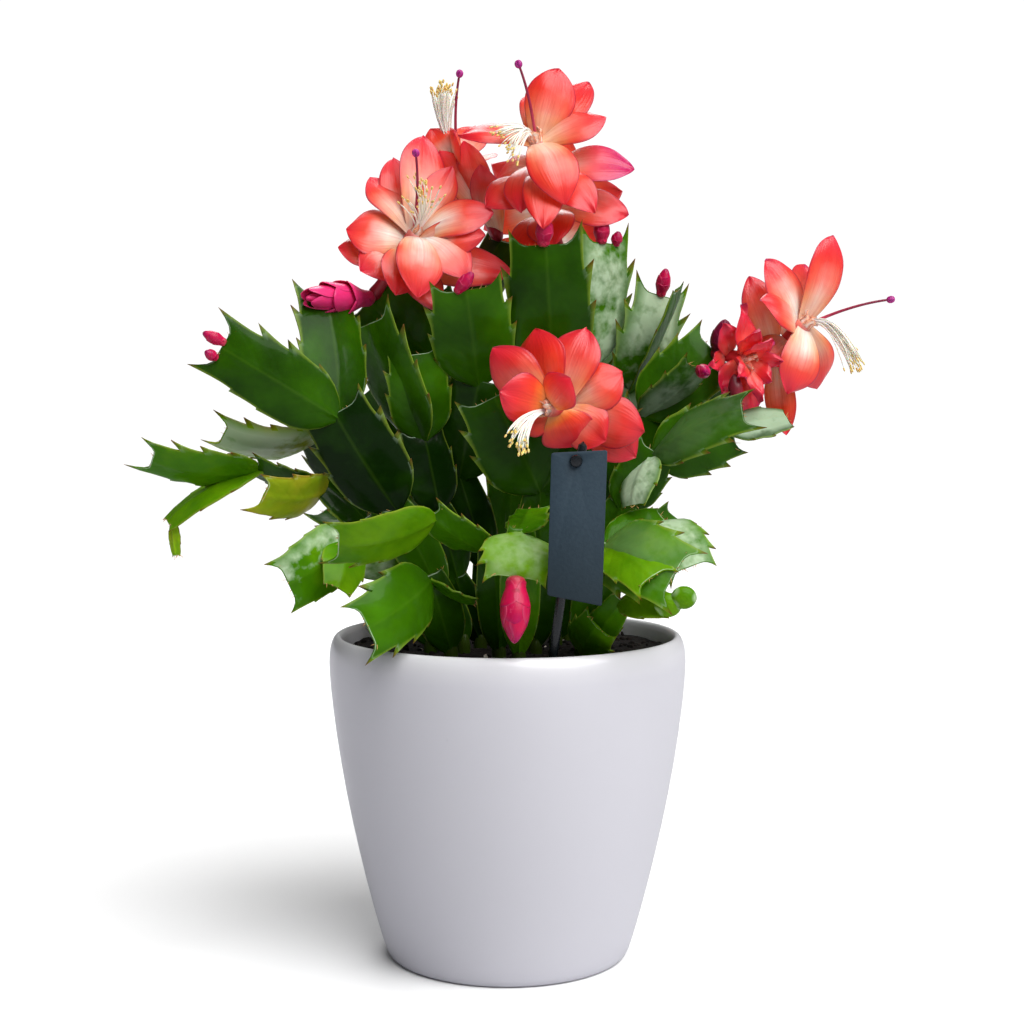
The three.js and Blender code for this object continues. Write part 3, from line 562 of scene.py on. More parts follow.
# Rows along a pad: where each is, the tooth that it leads up to and how far up that tooth it is.
def padRows(teeth):
    rows = []
    start = 0
    for number, (at, _, _) in enumerate(teeth):
        bend = pad["firstBend"] if number == 0 else 1
        rows += [(start + (at - start) * step ** bend, number, step) for step in pad["steps"]]
        start = at + pad["notch"]
    return rows


def makePad(bm, blade, width, tone, kind, paintedSheen, bare):
    mark = bm.verts.layers.float_color["mark"]
    shape = padShapes[kind]
    teeth = shape["teeth"]
    rows = padRows(teeth)
    columns = [-c for c in reversed(pad["columns"][1:])] + list(pad["columns"])
    sizes = {way: [chance.uniform(*pad["toothSizes"]) for _ in teeth] for way in (-1, 1)}
    for way in bare:
        sizes[way] = [size * pad["bareTeeth"] for size in sizes[way][:-1]] + sizes[way][-1:]
    outCurve, forwardCurve = pad["toothCurve"]
    drift = chance.uniform(0, 90)
    cup = pad["cup"] + chance.uniform(*pad["cupChange"])
    for vert, i, j, side in bladeBlank(bm, len(rows), len(columns)):
        along, tooth, step = rows[i]
        v = columns[j]
        way = 1 if v > 0 else -1
        onEdge = abs(v) == 1
        _, out, forward = teeth[tooth]
        size = sizes[way][tooth] * onEdge
        if tooth == len(teeth) - 1:
            size = sizes[way][tooth] * progress(abs(v), pad["hornFrom"], 1) ** pad["hornCurve"]
        across = (bodyShare(shape, along) * v + way * out * size * step ** outCurve) * width
        at = along + forward * size * step ** forwardCurve
        half = pad["edge"] + pad["blade"] * math.sqrt(max(0, 1 - abs(v) ** 3))
        half += pad["rib"] * math.exp(-(v / pad["ribWidth"]) ** 2)
        half *= 1 - pad["thinBy"] * progress(along, pad["thinFrom"], 1)
        bowed = lump(at * 2.6, v * 1.1, drift)
        ruffled = lump(at * 7, drift, way) * v * v
        lift = side * half + (bowed + ruffled) * pad["wave"]
        vert.co = bladePlace(blade, at, across, lift, cup)
        dried = pad["dried"] * progress(step, pad["driedFrom"], 1) * onEdge * min(1, size)
        if i == len(rows) - 1:
            dried = max(dried, pad["driedEnd"])
        vert[mark] = (along, (v + 1) / 2, tone, dried if dried > 0.1 else pad["paintedSheenAccent"] * paintedSheen)


def addBristles(bm, blade, width):
    for _ in range(bristle["count"]):
        across = chance.uniform(-bristle["spread"], bristle["spread"]) * width
        start = bladePlace(blade, bristle["start"], across, 0, pad["cup"])
        sideways = chance.uniform(-bristle["lean"], bristle["lean"])
        lean = blade["side"] * sideways + blade["face"] * chance.uniform(-1, 1)
        way = (blade["axis"] * bristle["lean"] + lean).normalized()
        end = start + way * chance.uniform(*bristle["length"])
        middle = (start + end) / 2 + lean * bristle["bow"]
        line = bentLine(start, middle, end, len(bristle["radii"]))
        rollTube(bm, line, bristle["radii"], 4, lambda along, around: (1, 0.5, 0.5, 1))


def addYoungPad(bm, x, z, depth, radius):
    mark = bm.verts.layers.float_color["mark"]
    knob = bmesh.ops.create_uvsphere(bm, u_segments=24, v_segments=14, radius=radius)["verts"]
    for vert in knob:
        around = math.atan2(vert.co.z, vert.co.x)
        rim = math.hypot(vert.co.x, vert.co.z) / radius
        dried = youngPad["dried"] * max(0, math.cos(around * 2.5)) * rim ** 4
        vert[mark] = (rim, 0.5 + 0.42 * rim, youngPad["tone"], dried)
    settle(bm, knob, youngPad["size"], Quaternion(), seen(x, z, depth))


def padTone(base, z, depth):
    lit, shaded = [
        progress(depth, *depths) * progress(z, *heights) * change
        for depths, heights, change in (pad["lit"], pad["shaded"])
    ]
    return base + lit + shaded * (depth < pad["shadedUpTo"]) + chance.uniform(*pad["toneChange"])


def padKind(width):
    if width <= pad["stalkWidth"]:
        return "stalk"
    return "plain" if width < pad["toothedWidth"] else "toothed"


# The pads of a stem are made in turn, and the frame of each is kept for what grows on it.
def makeStem(name, skin):
    stem = stems[name]
    bm, _ = startPiece()
    soil = Vector((*stem["foot"], soilLevel))
    foot = soil + Vector((0, 0, woodyFoot["rise"]))
    frames = []
    for number, (bearer, x, z, depth, width, roll, arch) in enumerate(stem["pads"]):
        base = foot if bearer < 0 else frames[bearer]["tip"] - frames[bearer]["axis"] * pad["sunk"]
        blade = bladeFrame(base, seen(x, z, depth), toFront, arch, roll)
        frames.append(blade)
        tone = padTone(stem["tone"], z, depth)
        tone = stem.get("tonesAndShade", {}).get(number, tone)
        paintedSheen = stem.get("paintedSheen", {}).get(number, 0)
        bare = stem.get("bare", {}).get(number, ())
        kind = "jagged" if number in stem.get("jagged", ()) else padKind(width)
        makePad(bm, blade, width, min(max(tone, 0), 0.95), kind, paintedSheen, bare)
        addBristles(bm, blade, width)
    for knob in stem.get("knobs", ()):
        addYoungPad(bm, *knob)
    below = soil - Vector((0, 0, woodyFoot["depth"]))
    line = [below, below.lerp(foot, 0.5), foot] + [foot + Vector((0, 0, rise)) for rise in woodyFoot["above"]]
    tone, dried = woodyFoot["tone"], woodyFoot["dried"]
    rollTube(bm, line, woodyFoot["radii"], 10, lambda along, around: (along, 0.5, tone, dried))
    finishPiece(bm, name, skin)
    return frames


padSkin = padMaterial()
padFrames = {name: makeStem(name, padSkin) for name in stems}
print("stems and pads made:", len(stems))

# Each bloom: the pad that bears it, the mouth of its tube, then its petals as x, z, depth, width, level, arch
# and, where one is turned, a roll. Level 1 is the mouth, and a lower level stands further down the tube.
# Tone goes from coral to deep red, crumple is how far the petals have shrivelled, magenta names one petal,
# and a facing or a number of stamens takes the place of the common one.
blooms = {
    "bloom_left": {
        "bearer": ("stem_centre", 5), "mouth": (-33, 261, -4),
        "petals": [
            (-31, 296.5, 12, 17, 1, 0.12), (-50.5, 281, 6, 16, 1, 0.12),
            (-42, 288, 14, 14, 0.8, 0.12), (-59, 262, -6, 19, 0.9, 0.16),
            (-62, 255.5, -4, 14, 0.6, 0.16), (-54, 247, -14, 16, 0.7, 0.2),
            (-41, 238, -20, 16, 0.8, 0.22), (-33, 237, -24, 17, 1, 0.26),
            (-26, 232.5, -18, 14, 0.6, 0.2), (-14, 244, -16, 16, 1, 0.22),
            (-5, 268, -8, 16, 1, 0.16), (-8, 260, -12, 14, 0.75, 0.16),
            (2, 246, -2, 16, 0.5, 0.16), (-20, 285, 4, 12, 1, 0.12),
        ],
        "style": [(-33, 275, -8), (-33.5, 290, -12)],
        "filaments": [(-29, 269, -18), (-40, 269, -12), (-34, 284, -8), (-23, 274, -14)],
    },
    "bloom_behind": {
        "stamens": 56,
        "bearer": ("stem_centre", 7), "mouth": (-19.5, 287, 18),
        "petals": [
            (-28, 299, 16, 14, 1, 0.1), (-12, 300, 28, 14, 1, 0.1),
            (-7, 288, 34, 16, 0.9, 0.16), (-31, 286, 34, 16, 0.9, 0.16),
            (-20, 276, 44, 16, 0.8, 0.2), (-3, 272, 26, 14, 0.45, 0.18),
            (-24, 266, 38, 14, 0.45, 0.18), (-19, 298, 6, 13, 1, 0.1),
            (-16, 294.5, 8, 12, 0.3, 0.06), (-25, 291, 10, 12, 0.4, 0.08),
            (-10, 286, 6, 12, 0.15, 0.08),
        ],
        "style": [(-19, 303, 16), (-17.5, 319, 13)],
        "filaments": [(-28, 312, 10), (-23, 316, 8), (-18, 311, 18), (-25, 313, 18)],
    },
    "bloom_top": {
        "tone": 0.42, "magenta": 3,
        "bearer": ("stem_tall", 6), "mouth": (10, 295, -4),
        "petals": [
            (19, 321, 0, 17, 1, 0.1), (29.5, 316, 10, 16, 0.95, 0.12),
            (36, 303, -2, 17, 1, 0.14), (46.5, 284, -2, 17, 0.75, 0.18),
            (21, 271, -24, 17, 1, 0.24), (-18, 296, -6, 13, 1, 0.16),
            (44, 267, 2, 16, 0.5, 0.18), (5, 268, -18, 16, 0.85, 0.2),
            (-8, 270, -8, 16, 0.7, 0.18), (4, 252, -8, 14, 0.45, 0.14),
            (17, 256, -12, 17, 0.5, 0.18), (14, 313, 16, 16, 1, 0.1),
            (-4, 280, 22, 14, 0.8, 0.16), (13, 262, -26, 14, 0.8, 0.2),
            (32, 268, -18, 15, 0.75, 0.2),
        ],
        "style": [(8, 309, -8), (4, 322.5, -10)],
        "filaments": [(1, 287, -22), (-6, 302, -14), (-4, 295, -20), (6, 287, -26)],
    },
    "bloom_right": {
        "tone": 0.2,
        "bearer": ("stem_right_upper", 9), "mouth": (109, 228, -2),
        "petals": [
            (118.5, 260, 2, 16, 1, 0.12, 30), (94, 251, -4, 16, 0.95, 0.18),
            (88, 245, 4, 13, 0.6, 0.14), (92, 236, -14, 16, 0.9, 0.24),
            (94, 213, -8, 14, 0.8, 0.18), (102, 202, -12, 16, 1, 0.18),
            (102, 187, -4, 11, 0.6, 0.1, 40), (108, 249, 14, 16, 0.9, 0.18),
            (99, 224, 20, 16, 0.8, 0.2), (113, 204, 10, 16, 1, 0.16),
        ],
        "style": [(124, 233, -5), (140, 236.5, -7)],
        "filaments": [(124, 212, -10), (129, 210, -4), (130, 216, -10), (125, 219, -1)],
    },
    "bloom_low": {
        "tone": 0.68,
        "bearer": ("stem_mid_front", 3), "mouth": (14, 197, -46),
        "petals": [
            (-5, 219, -42, 16, 1, 0.16), (-3, 203, -56, 16, 1, 0.14),
            (10, 226, -38, 19, 0.9, 0.16), (29, 226, -36, 17, 0.8, 0.16),
            (42, 210, -40, 17, 0.7, 0.16), (50, 188, -42, 17, 0.6, 0.14),
            (47, 179, -36, 16, 0.45, 0.14), (25, 183, -42, 18, 0.9, 0.14),
            (36, 185, -44, 16, 0.75, 0.14), (2, 192, -40, 14, 0.8, 0.16),
            (23, 208, -54, 14, 1, 0.2),
        ],
        "filaments": [(1, 184, -62), (6, 180, -60), (9, 182, -56), (0, 190, -62)],
    },
    "bloom_wilted": {
        "tone": 0.3, "crumple": 1,
        "bearer": ("stem_right_upper", 7), "mouth": (88, 214, -14),
        "petals": [
            (86, 235, -16, 13, 1, 0.06), (78, 202, -16, 13, 0.9, 0.1),
            (89, 193, -14, 13, 1, 0.06), (97, 222, -22, 12, 1, 0.1),
            (96, 206, -16, 12, 1, 0.08), (79, 228, -18, 12, 0.6, 0.1),
            (92, 226, -22, 10, 0.9, 0.1), (84, 208, -26, 11, 1, 0.1),
            (93, 199, -22, 9, 1, 0.08), (101, 214, -16, 10, 0.8, 0.1),
            (74, 212, -20, 9, 0.5, 0.08),
        ],
        "spent": ((83, 210, -21), (83, 203, -23), (84.5, 195.5, -21)),  # a dark petal, still rolled up
    },
    "bloom_back": {
        "facing": -0.9,
        "bearer": ("stem_back", 4), "mouth": (16, 270, 74),
        "petals": [
            (20, 298, 76, 16, 1, 0.1), (-6, 286, 78, 16, 1, 0.16),
            (-9, 262, 86, 16, 1, 0.2), (10, 246, 94, 17, 1, 0.22),
            (34, 252, 90, 16, 1, 0.2), (42, 276, 78, 16, 1, 0.16),
            (-8, 250, 70, 14, 0.5, 0.16), (24, 244, 80, 14, 0.5, 0.16),
            (36, 262, 64, 14, 0.5, 0.16),
        ],
        "style": [(17, 278, 84), (18, 290, 96)],
        "filaments": [(12, 274, 98), (22, 270, 98), (24, 280, 94), (14, 284, 94)],
    },
}
bloom = {
    "set": 0.6,  # how far a tube's foot is set back into the tip of its pad
    "rows": (0, 0.05, 0.12, 0.2, 0.3, 0.4, 0.5, 0.6, 0.7, 0.79, 0.87, 0.93, 0.97, 1),
    "columns": (-1, -0.78, -0.52, -0.26, 0, 0.26, 0.52, 0.78, 1),
    "broadest": 0.6,
    "narrowest": 0.15,
    "tipCurve": (2.1, 0.85),  # how late a petal narrows to its tip, and how roundly
    "widen": 1.1,
    "half": 0.24,
    "cup": (0.008, 0.034),
    "twist": 0.16,
    "ripple": 1.45,
    "crease": (0.5, 0.16),  # depth and width of the fold down the middle
    "shrivel": 0.5,  # what a spent petal loses of its width, then what it gains in ripples and in flush
    "crinkle": 1.8,
    "spentFlush": 0.1,
    "spentFrom": 0.4,  # and how far along the colours it starts
    "facing": 0.9,  # how far the petals turn their faces to the front
    "back": 1.5,  # a petal starts this far behind its level in the tube, and this far out
    "out": 1.2,
    "turn": 16,
    "toneChange": 0.5,
    "flush": (0, 0.09),
    "magentaFlush": 0.45,
    "tube": ((0, 0), (0.03, 1.5), (0.08, 2.5), (0.13, 2.8), (0.19, 2.4), (0.26, 2.1), (0.4, 2.2), (0.6, 2.6),
             (0.8, 3.1), (0.94, 3.5), (1, 3.3), (0.97, 2.6), (0.9, 0)),
    "spent": (0, 1.5, 2.3, 2.7, 2.8, 2.5, 1.9, 1, 0),
}
throat = {
    "petals": 6,
    "width": 4.2,
    "stray": 0.2,
    "back": 2,
    "out": 2.2,
    "reach": (2.6, 4.2),
    "spread": (2.4, 3.2),
    "arch": 0.06,
    "painted": (0.16, 0.3),
}
stamens = {
    "count": 34,
    "radius": 0.26,
    "points": 11,
    "rooted": 1.5,  # how far down the tube they begin, and in what ring
    "ring": (0.3, 1.6),
    "bend": (0.4, 0.62),
    "along": 0.8,  # how far their ends spread from one named point to the next
    "inwards": 0.35,
    "stray": 1.6,
    "anther": 0.62,
    "antherSize": (0.8, 0.55, 1.5),
}
style = {
    "radius": 0.62,
    "taper": 0.012,
    "points": 18,
    "rooted": 3,
    "stigma": 1.3,
    "lobes": 6,
    "lobed": 0.14,
    "tall": 1.15,
}


def petalMaterial():
    silk = newMaterial("petalSilk", Roughness=0.32, Subsurface_Weight=0.3, Subsurface_Scale=0.003,
                       Subsurface_Radius=(1, 0.4, 0.28), Specular_IOR_Level=0.5)
    along, across, edge, tone, accent = readMarks(silk)
    place = along + (grain(silk, 90) - 0.5) * 0.35
    body = ramp(place, (0, "#ffe8dc"), (0.28, "#ffb884"), (0.52, "#ff6c3e"), (0.78, "#fc3e2a"),
                (1, "#ea2238"))
    deep = ramp(place, (0, "#ffc486"), (0.2, "#ff8238"), (0.38, "#fb4419"), (0.66, "#fc2c16"),
                (1, "#e81822"))
    body = blend(tone, body, deep)
    rim = ramp(edge, (0.66, 0), (0.97, 0.75)) * ramp(along, (0.2, 0), (0.45, 1))
    body = blend(rim, body, "#ee2226")
    # A thin dark line at the very edge: partly the margin's own deeper red, partly painted shade where it
    # rolls away.
    body = blend(ramp(edge, (0.9, 0), (1, 0.75)), body, "#ae1024")
    # The pale heart is partly the petal's own pale base and partly a painted highlight, a white glow in its
    # middle.
    paleHeartAndHighlight = ramp(place, (0.03, 0.75), (0.32, 1), (0.7, 0))
    body = blend(paleHeartAndHighlight * ramp(edge, (0, 1), (0.85, 0)) * (1 - tone), body, "#fff6ee")
    body = blend(ramp(along, (0.3, 0), (0.85, 1)) * ramp(accent, (0, 0), (0.45, 1)), body, "#c4065e")
    strands = addNode(silk.node_tree, "CombineXYZ")
    for value, socket in zip((across * 26, along * 2.5, grain(silk, 12, 0) * 3), strands.inputs):
        plug(value, socket)
    streak = grain(silk, 1, 3, Wire(strands.outputs[0]))
    body = blend(ramp(streak, (0.42, 0), (0.75, 0.34)), body, "#d81c1e")
    tube = ramp(along, (0, "#5e1420"), (0.3, "#a81836"), (0.7, "#d83c40"), (1, "#ffc4b0"))
    return dress(silk, blend(ramp(accent, (0.55, 0), (0.8, 1)), body, tube), streak, 0.25, 0.0006)


def petalShare(along):
    if along < bloom["broadest"]:
        swell = math.sin(math.pi / 2 * along / bloom["broadest"])
        return bloom["narrowest"] + (0.5 - bloom["narrowest"]) * swell
    late, roundly = bloom["tipCurve"]
    return 0.5 * (1 - progress(along, bloom["broadest"], 1) ** late) ** roundly


# How far along a petal is painted runs between two shares, so a throat petal keeps to the pale part.
def makePetal(bm, blade, width, tone, crumple=0, flush=0, painted=(0, 1)):
    mark = bm.verts.layers.float_color["mark"]
    cup = chance.uniform(*bloom["cup"])
    rows, columns = bloom["rows"], bloom["columns"]
    drift = chance.uniform(0, 90)
    twist = chance.uniform(-bloom["twist"], bloom["twist"]) * (1 + crumple)
    ripple = bloom["ripple"] * (1 + crumple * bloom["crinkle"])
    crease, creaseWidth = bloom["crease"]
    for vert, i, j, side in bladeBlank(bm, len(rows), len(columns)):
        along, v = rows[i], columns[j]
        across = petalShare(along) * v * width * (1 - bloom["shrivel"] * crumple * along)
        half = bloom["half"] * (1 - 0.6 * v * v) * (1 - 0.5 * along)
        wave = lump(along * 3.2, v * 1.4, drift) * ripple * along
        wave += lump(along * 8, drift, v * 3) * ripple * 0.6 * v * v * along
        wave -= crease * math.exp(-(v / creaseWidth) ** 2) * math.sin(math.pi * along)
        wave += twist * across * along
        vert.co = bladePlace(blade, along, across, side * half + wave, cup)
        shown = painted[0] + (painted[1] - painted[0]) * along
        vert[mark] = (shown, (v + 1) / 2, tone, flush)


def makePetals(name, flower, foot, mouth, way, silk):
    bm, _ = startPiece()
    tone = flower.get("tone", 0)
    crumple = flower.get("crumple", 0)
    shown = way + toFront * flower.get("facing", bloom["facing"])
    line = [foot.lerp(mouth, share) for share, _ in bloom["tube"]]
    radii = [radius for _, radius in bloom["tube"]]
    rollTube(bm, line, radii, 14, lambda along, around: (along, around, tone, 1))
    for number, (x, z, depth, width, level, arch, *roll) in enumerate(flower["petals"]):
        end = seen(x, z, depth)
        out = end - mouth
        out = (out - way * out.dot(way)).normalized()
        base = foot.lerp(mouth, level) - way * bloom["back"] + out * bloom["out"]
        blade = bladeFrame(base, end, shown, arch, sum(roll) + chance.uniform(-bloom["turn"], bloom["turn"]))
        if number == flower.get("magenta"):
            flush = bloom["magentaFlush"]
        else:
            flush = chance.uniform(*bloom["flush"]) + bloom["spentFlush"] * crumple
        own = min(1, tone + chance.uniform(0, bloom["toneChange"]))
        painted = (bloom["spentFrom"] * crumple, 1)
        makePetal(bm, blade, width * bloom["widen"], own, crumple, flush, painted)
    if "spent" in flower:
        line = bentLine(*[seen(*place) for place in flower["spent"]], len(bloom["spent"]))
        rollTube(bm, line, bloom["spent"], 12, lambda along, around: (0.05 + along * 0.15, around, tone, 1))
    for k in range(throat["petals"]):
        out = way.orthogonal().normalized()
        place = k + chance.uniform(-throat["stray"], throat["stray"])
        out.rotate(Quaternion(way, 2 * math.pi * place / throat["petals"]))
        base = mouth - way * throat["back"] + out * throat["out"]
        end = mouth + way * chance.uniform(*throat["reach"]) + out * chance.uniform(*throat["spread"])
        blade = bladeFrame(base, end, -out, throat["arch"])
        makePetal(bm, blade, throat["width"], 0, painted=throat["painted"])
    finishPiece(bm, name + "_petals", silk, smoothing=1)


def stamenMaterial():
    thread = newMaterial("stamenThread", Roughness=0.5, Subsurface_Weight=0.2, Subsurface_Scale=0.001)
    along, _, _, _, pollen = readMarks(thread)
    filament = ramp(along, (0, "#ffd9d4"), (0.35, "#fff8f0"), (1, "#fffbe8"))
    speck = grain(thread, 2600, 2)
    dust = ramp(speck, (0.35, "#e2b23c"), (0.65, "#fbeaa0"))
    return dress(thread, blend(pollen, filament, dust), speck, 0.4, 0.0004)


def makeStamens(name, flower, mouth, way, thread):
    bm, mark = startPiece()
    ends = [seen(*place) for place in flower["filaments"]]
    middle = sum(ends, Vector()) / len(ends)
    radii = [stamens["radius"]] * (stamens["points"] - 1) + [0]
    for _ in range(flower.get("stamens", stamens["count"])):
        pair = chance.sample(ends, 2)
        end = pair[0].lerp(pair[1], chance.uniform(0, stamens["along"]))
        end = end.lerp(middle, chance.uniform(0, stamens["inwards"]))
        end += Vector([chance.uniform(-stamens["stray"], stamens["stray"]) for _ in range(3)])
        out = end - mouth
        out = (out - way * out.dot(way)).normalized()
        start = mouth - way * stamens["rooted"] + out * chance.uniform(*stamens["ring"])
        bend = start + way * (end - start).length * chance.uniform(*stamens["bend"])
        line = bentLine(start, bend, end, stamens["points"])
        rollTube(bm, line, radii, 5, plainMarks)
        anther = bmesh.ops.create_icosphere(bm, subdivisions=1, radius=stamens["anther"])["verts"]
        settle(bm, anther, stamens["antherSize"], (line[-1] - line[-2]).to_track_quat("Z", "Y"), end)
        for vert in anther:
            vert[mark] = (1, 0.5, 0, 1)
    finishPiece(bm, name + "_stamens", thread, sharp=180)


def styleMaterial():
    wine = newMaterial("styleWine", Roughness=0.4, Subsurface_Weight=0.1, Subsurface_Scale=0.001)
    along, _, _, _, accent = readMarks(wine)
    rod = ramp(along, (0, "#e0506a"), (0.4, "#a01840"), (1, "#7c1038"))
    stigma = ramp(grain(wine, 1400, 2), (0.3, "#8a0f6a"), (0.7, "#c92a9a"))
    return dress(wine, blend(accent, rod, stigma), grain(wine, 2400, 2), 0.5, 0.0003)


def makeStyle(name, flower, mouth, way, wine):
    bm, mark = startPiece()
    middle, end = [seen(*place) for place in flower["style"]]
    start = mouth - way * style["rooted"]
    line = bentLine(start, middle * 2 - (start + end) / 2, end, style["points"])
    radii = [style["radius"] - style["taper"] * i for i in range(style["points"] - 1)] + [0]
    rollTube(bm, line, radii, 8, plainMarks)
    stigma = bmesh.ops.create_uvsphere(bm, u_segments=30, v_segments=12, radius=1)["verts"]
    for vert in stigma:
        lobe = math.cos(style["lobes"] * math.atan2(vert.co.y, vert.co.x)) * math.hypot(vert.co.x, vert.co.y)
        vert.co *= style["stigma"] * (1 + style["lobed"] * lobe)
        vert[mark] = (1, 0.5, 0, 1)
    settle(bm, stigma, (1, 1, style["tall"]), (line[-1] - line[-3]).to_track_quat("Z", "Y"), end)
    finishPiece(bm, name + "_style", wine, sharp=180)


petalSilk = petalMaterial()
stamenThread = stamenMaterial()
styleWine = styleMaterial()
for name, flower in blooms.items():
    bearing, number = flower["bearer"]
    seat = padFrames[bearing][number]
    foot = seat["tip"] - seat["axis"] * bloom["set"]
    mouth = seen(*flower["mouth"])
    way = (mouth - foot).normalized()
    makePetals(name, flower, foot, mouth, way, petalSilk)
    if "filaments" in flower:
        makeStamens(name, flower, mouth, way, stamenThread)
    if "style" in flower:
        makeStyle(name, flower, mouth, way, styleWine)
print("blooms made:", len(blooms))

# Each bud: its pad, where along the pad's tip it sits, its point and how wide it is. Flare, which peels its
# scales open, and tone come last where a bud has them. A tone over 0 is darker, one under 0 a fresher pink.
buds = {
    "bud_left_lower": (("stem_left_upper", 3), 2, (-111.5, 224.5, -42), 4),
    "bud_left_lowest": (("stem_left_upper", 3), -4, (-110.5, 217.5, -44), 3.4),
    "bud_half_open": (("stem_centre", 5), 2, (-74, 237, -26), 9, 2.1, -0.7),
    "bud_top_left": (("stem_centre", 3), -4, (-12.5, 246.5, -26), 4.5),
    "bud_tall": (("stem_tall", 3), -1, (14, 267.5, -23), 6),
    "bud_tall_right": (("stem_tall", 5), -2, (34.5, 267, 0), 5.6),
    "bud_tall_small": (("stem_tall", 5), 4.5, (40.6, 261.5, 3), 3.8),
    "bud_right": (("stem_right_upper", 3), 0, (58, 248, 7), 5),
    "bud_hanging": (("stem_front", 1), 0, (2.5, 110.5, -68), 10),
    "bud_wine": (("stem_right_upper", 7), 5, (79.5, 229.5, -10), 9, 0, 0.9),
    "bud_side": (("stem_right_upper", 8), 2, (73, 209.5, -30), 4.5),
    "bud_back_left": (("stem_back_left", 4), 0, (-38, 248, 64), 6),
    "bud_back_right": (("stem_back_right", 2), 0, (72, 212, 46), 7),
    "bud_back_low": (("stem_back", 6), 0, (18, 132, 110), 9),
}
budShape = {
    "set": 0.8,  # how far its foot is set back into the tip of its pad
    "swell": ((0, 0), (0.03, 0.3), (0.1, 0.36), (0.18, 0.31), (0.3, 0.42), (0.45, 0.5), (0.6, 0.47),
              (0.75, 0.36), (0.88, 0.21), (0.96, 0.1), (1, 0)),
    "whorls": ((0.1, 0.52, 4, 0), (0.22, 0.78, 4, 0.6), (0.34, 1, 4, 0.2)),  # from, to, scales and turn
    "rows": 9,
    "columns": 7,
    "scaleWidth": 1.44,
    "stray": 0.15,
    "peel": (0.1, 0.3),
    "flare": (0.6, 1.4),
    "proud": 0.12,
    "half": 0.13,
    "brown": (0.8, 3.2),  # how brown the foot is, and how soon that ends
}


def budMaterial():
    skin = newMaterial("budSkin", Roughness=0.36, Subsurface_Weight=0.15, Subsurface_Scale=0.002,
                       Subsurface_Radius=(1, 0.3, 0.3), Specular_IOR_Level=0.25, Coat_Weight=0.08,
                       Coat_Roughness=0.2)
    along, _, edge, tone, accent = readMarks(skin)
    place = along + (grain(skin, 220) - 0.5) * 0.5
    pink = ramp(place, (0, "#a8203c"), (0.25, "#cc0c48"), (0.7, "#c60846"), (1, "#9e0654"))
    pink = blend(ramp(edge, (0.7, 0), (1, 1)) * 0.2, pink, "#f07aa0")
    pink = blend(tone, pink, "#6e0a34")
    pink = blend(tone * -1, pink, "#f2387e")
    return dress(skin, blend(accent, pink, "#7d5a3a"), grain(skin, 700), 0.3, 0.0004)


def swellAt(share):
    marks = budShape["swell"]
    for (low, a), (high, b) in zip(marks, marks[1:]):
        if share <= high:
            return a + (b - a) * (share - low) / (high - low)
    return 0


def makeBud(name, skin):
    (bearing, number), across, point, width, *more = buds[name]
    flare, tone = more or (0, 0)
    bm, mark = startPiece()
    seat = padFrames[bearing][number]
    foot = seat["tip"] + seat["side"] * across - seat["axis"] * budShape["set"]
    tip = seen(*point)
    axis = (tip - foot).normalized()
    length = (tip - foot).length
    one = axis.orthogonal().normalized()
    two = axis.cross(one)
    line = [foot.lerp(tip, share) for share, _ in budShape["swell"]]
    radii = [part * width for _, part in budShape["swell"]]
    brown, fade = budShape["brown"]
    rollTube(bm, line, radii, 16, lambda along, around: (along, around, tone, max(0, brown - fade * along)))
    rows, columns = budShape["rows"], budShape["columns"]
    for low, high, count, start in budShape["whorls"]:
        for k in range(count):
            middle = 2 * math.pi * (k + start) / count + chance.uniform(-budShape["stray"], budShape["stray"])
            spread = 2 * math.pi / count * budShape["scaleWidth"]
            peel = chance.uniform(*budShape["peel"]) + flare * chance.uniform(*budShape["flare"])
            for vert, i, j, side in bladeBlank(bm, rows, columns):
                along = i / (rows - 1)
                v = j / (columns - 1) * 2 - 1
                share = low + (high - low) * along
                angle = middle + v * spread * petalShare(along)
                lift = budShape["proud"] + peel * along ** 2 + side * budShape["half"]
                radius = swellAt(share) * width + lift
                vert.co = foot + axis * (share * length)
                vert.co += (one * math.cos(angle) + two * math.sin(angle)) * radius
                shown = along * 0.6 + share * 0.4  # coloured partly along the scale, partly along the bud
                vert[mark] = (shown, (v + 1) / 2, tone, 0)
    finishPiece(bm, name, skin, smoothing=1)


budSkin = budMaterial()
for name in buds:
    makeBud(name, budSkin)
print("buds made:", len(buds))

# The tag hangs by its hole on a peg of the stake behind it.
tag = {
    "corners": ((16, 180.5), (36.5, 181.5), (34.5, 124.5), (14.5, 128.5)),
    "depth": -66,
    "thickness": 0.9,
    "hole": 1.6,
    "round": 0.8,
    "edge": 0.18,
}
stake = {
    "foot": (15, -51),
    "head": (27.8, 184.8),
    "behind": 2.2,
    "sunk": 30,
    "neck": 8,  # how far under the peg the stake begins to lean
    "bends": 6,  # points from the soil to the neck
    "radii": (0, 1, 1.5, 1.7, 1.7, 1.7, 1.7, 1.7, 1.7, 1.445, 0),
    "peg": (25, 177.5),
    "pegRoot": 0.3,
    "pegDepths": (-0.9, -1, -1.5, -2, -2.2),  # from the middle of the tag to the front, over its flat head
    "pegRadii": (0, 1.3, 1.3, 2.1, 2.1, 1.7, 0),
}


def tagMaterial():
    card = newMaterial("slateCard", Roughness=0.55, Specular_IOR_Level=0.28)
    speck = grain(card, 900, 4)
    slate = blend(speck, "#273744", "#374954")
    slate = blend(grain(card, 28, 2) * 0.35, slate, "#1e2a33")
    low = ramp(placeAlong(card.node_tree, "Z") * 5, (0.64, 0.9), (0.85, 0))
    return dress(card, blend(low, slate, "#142025"), speck, 0.25, 0.0003, speck * 0.2 + 0.42)


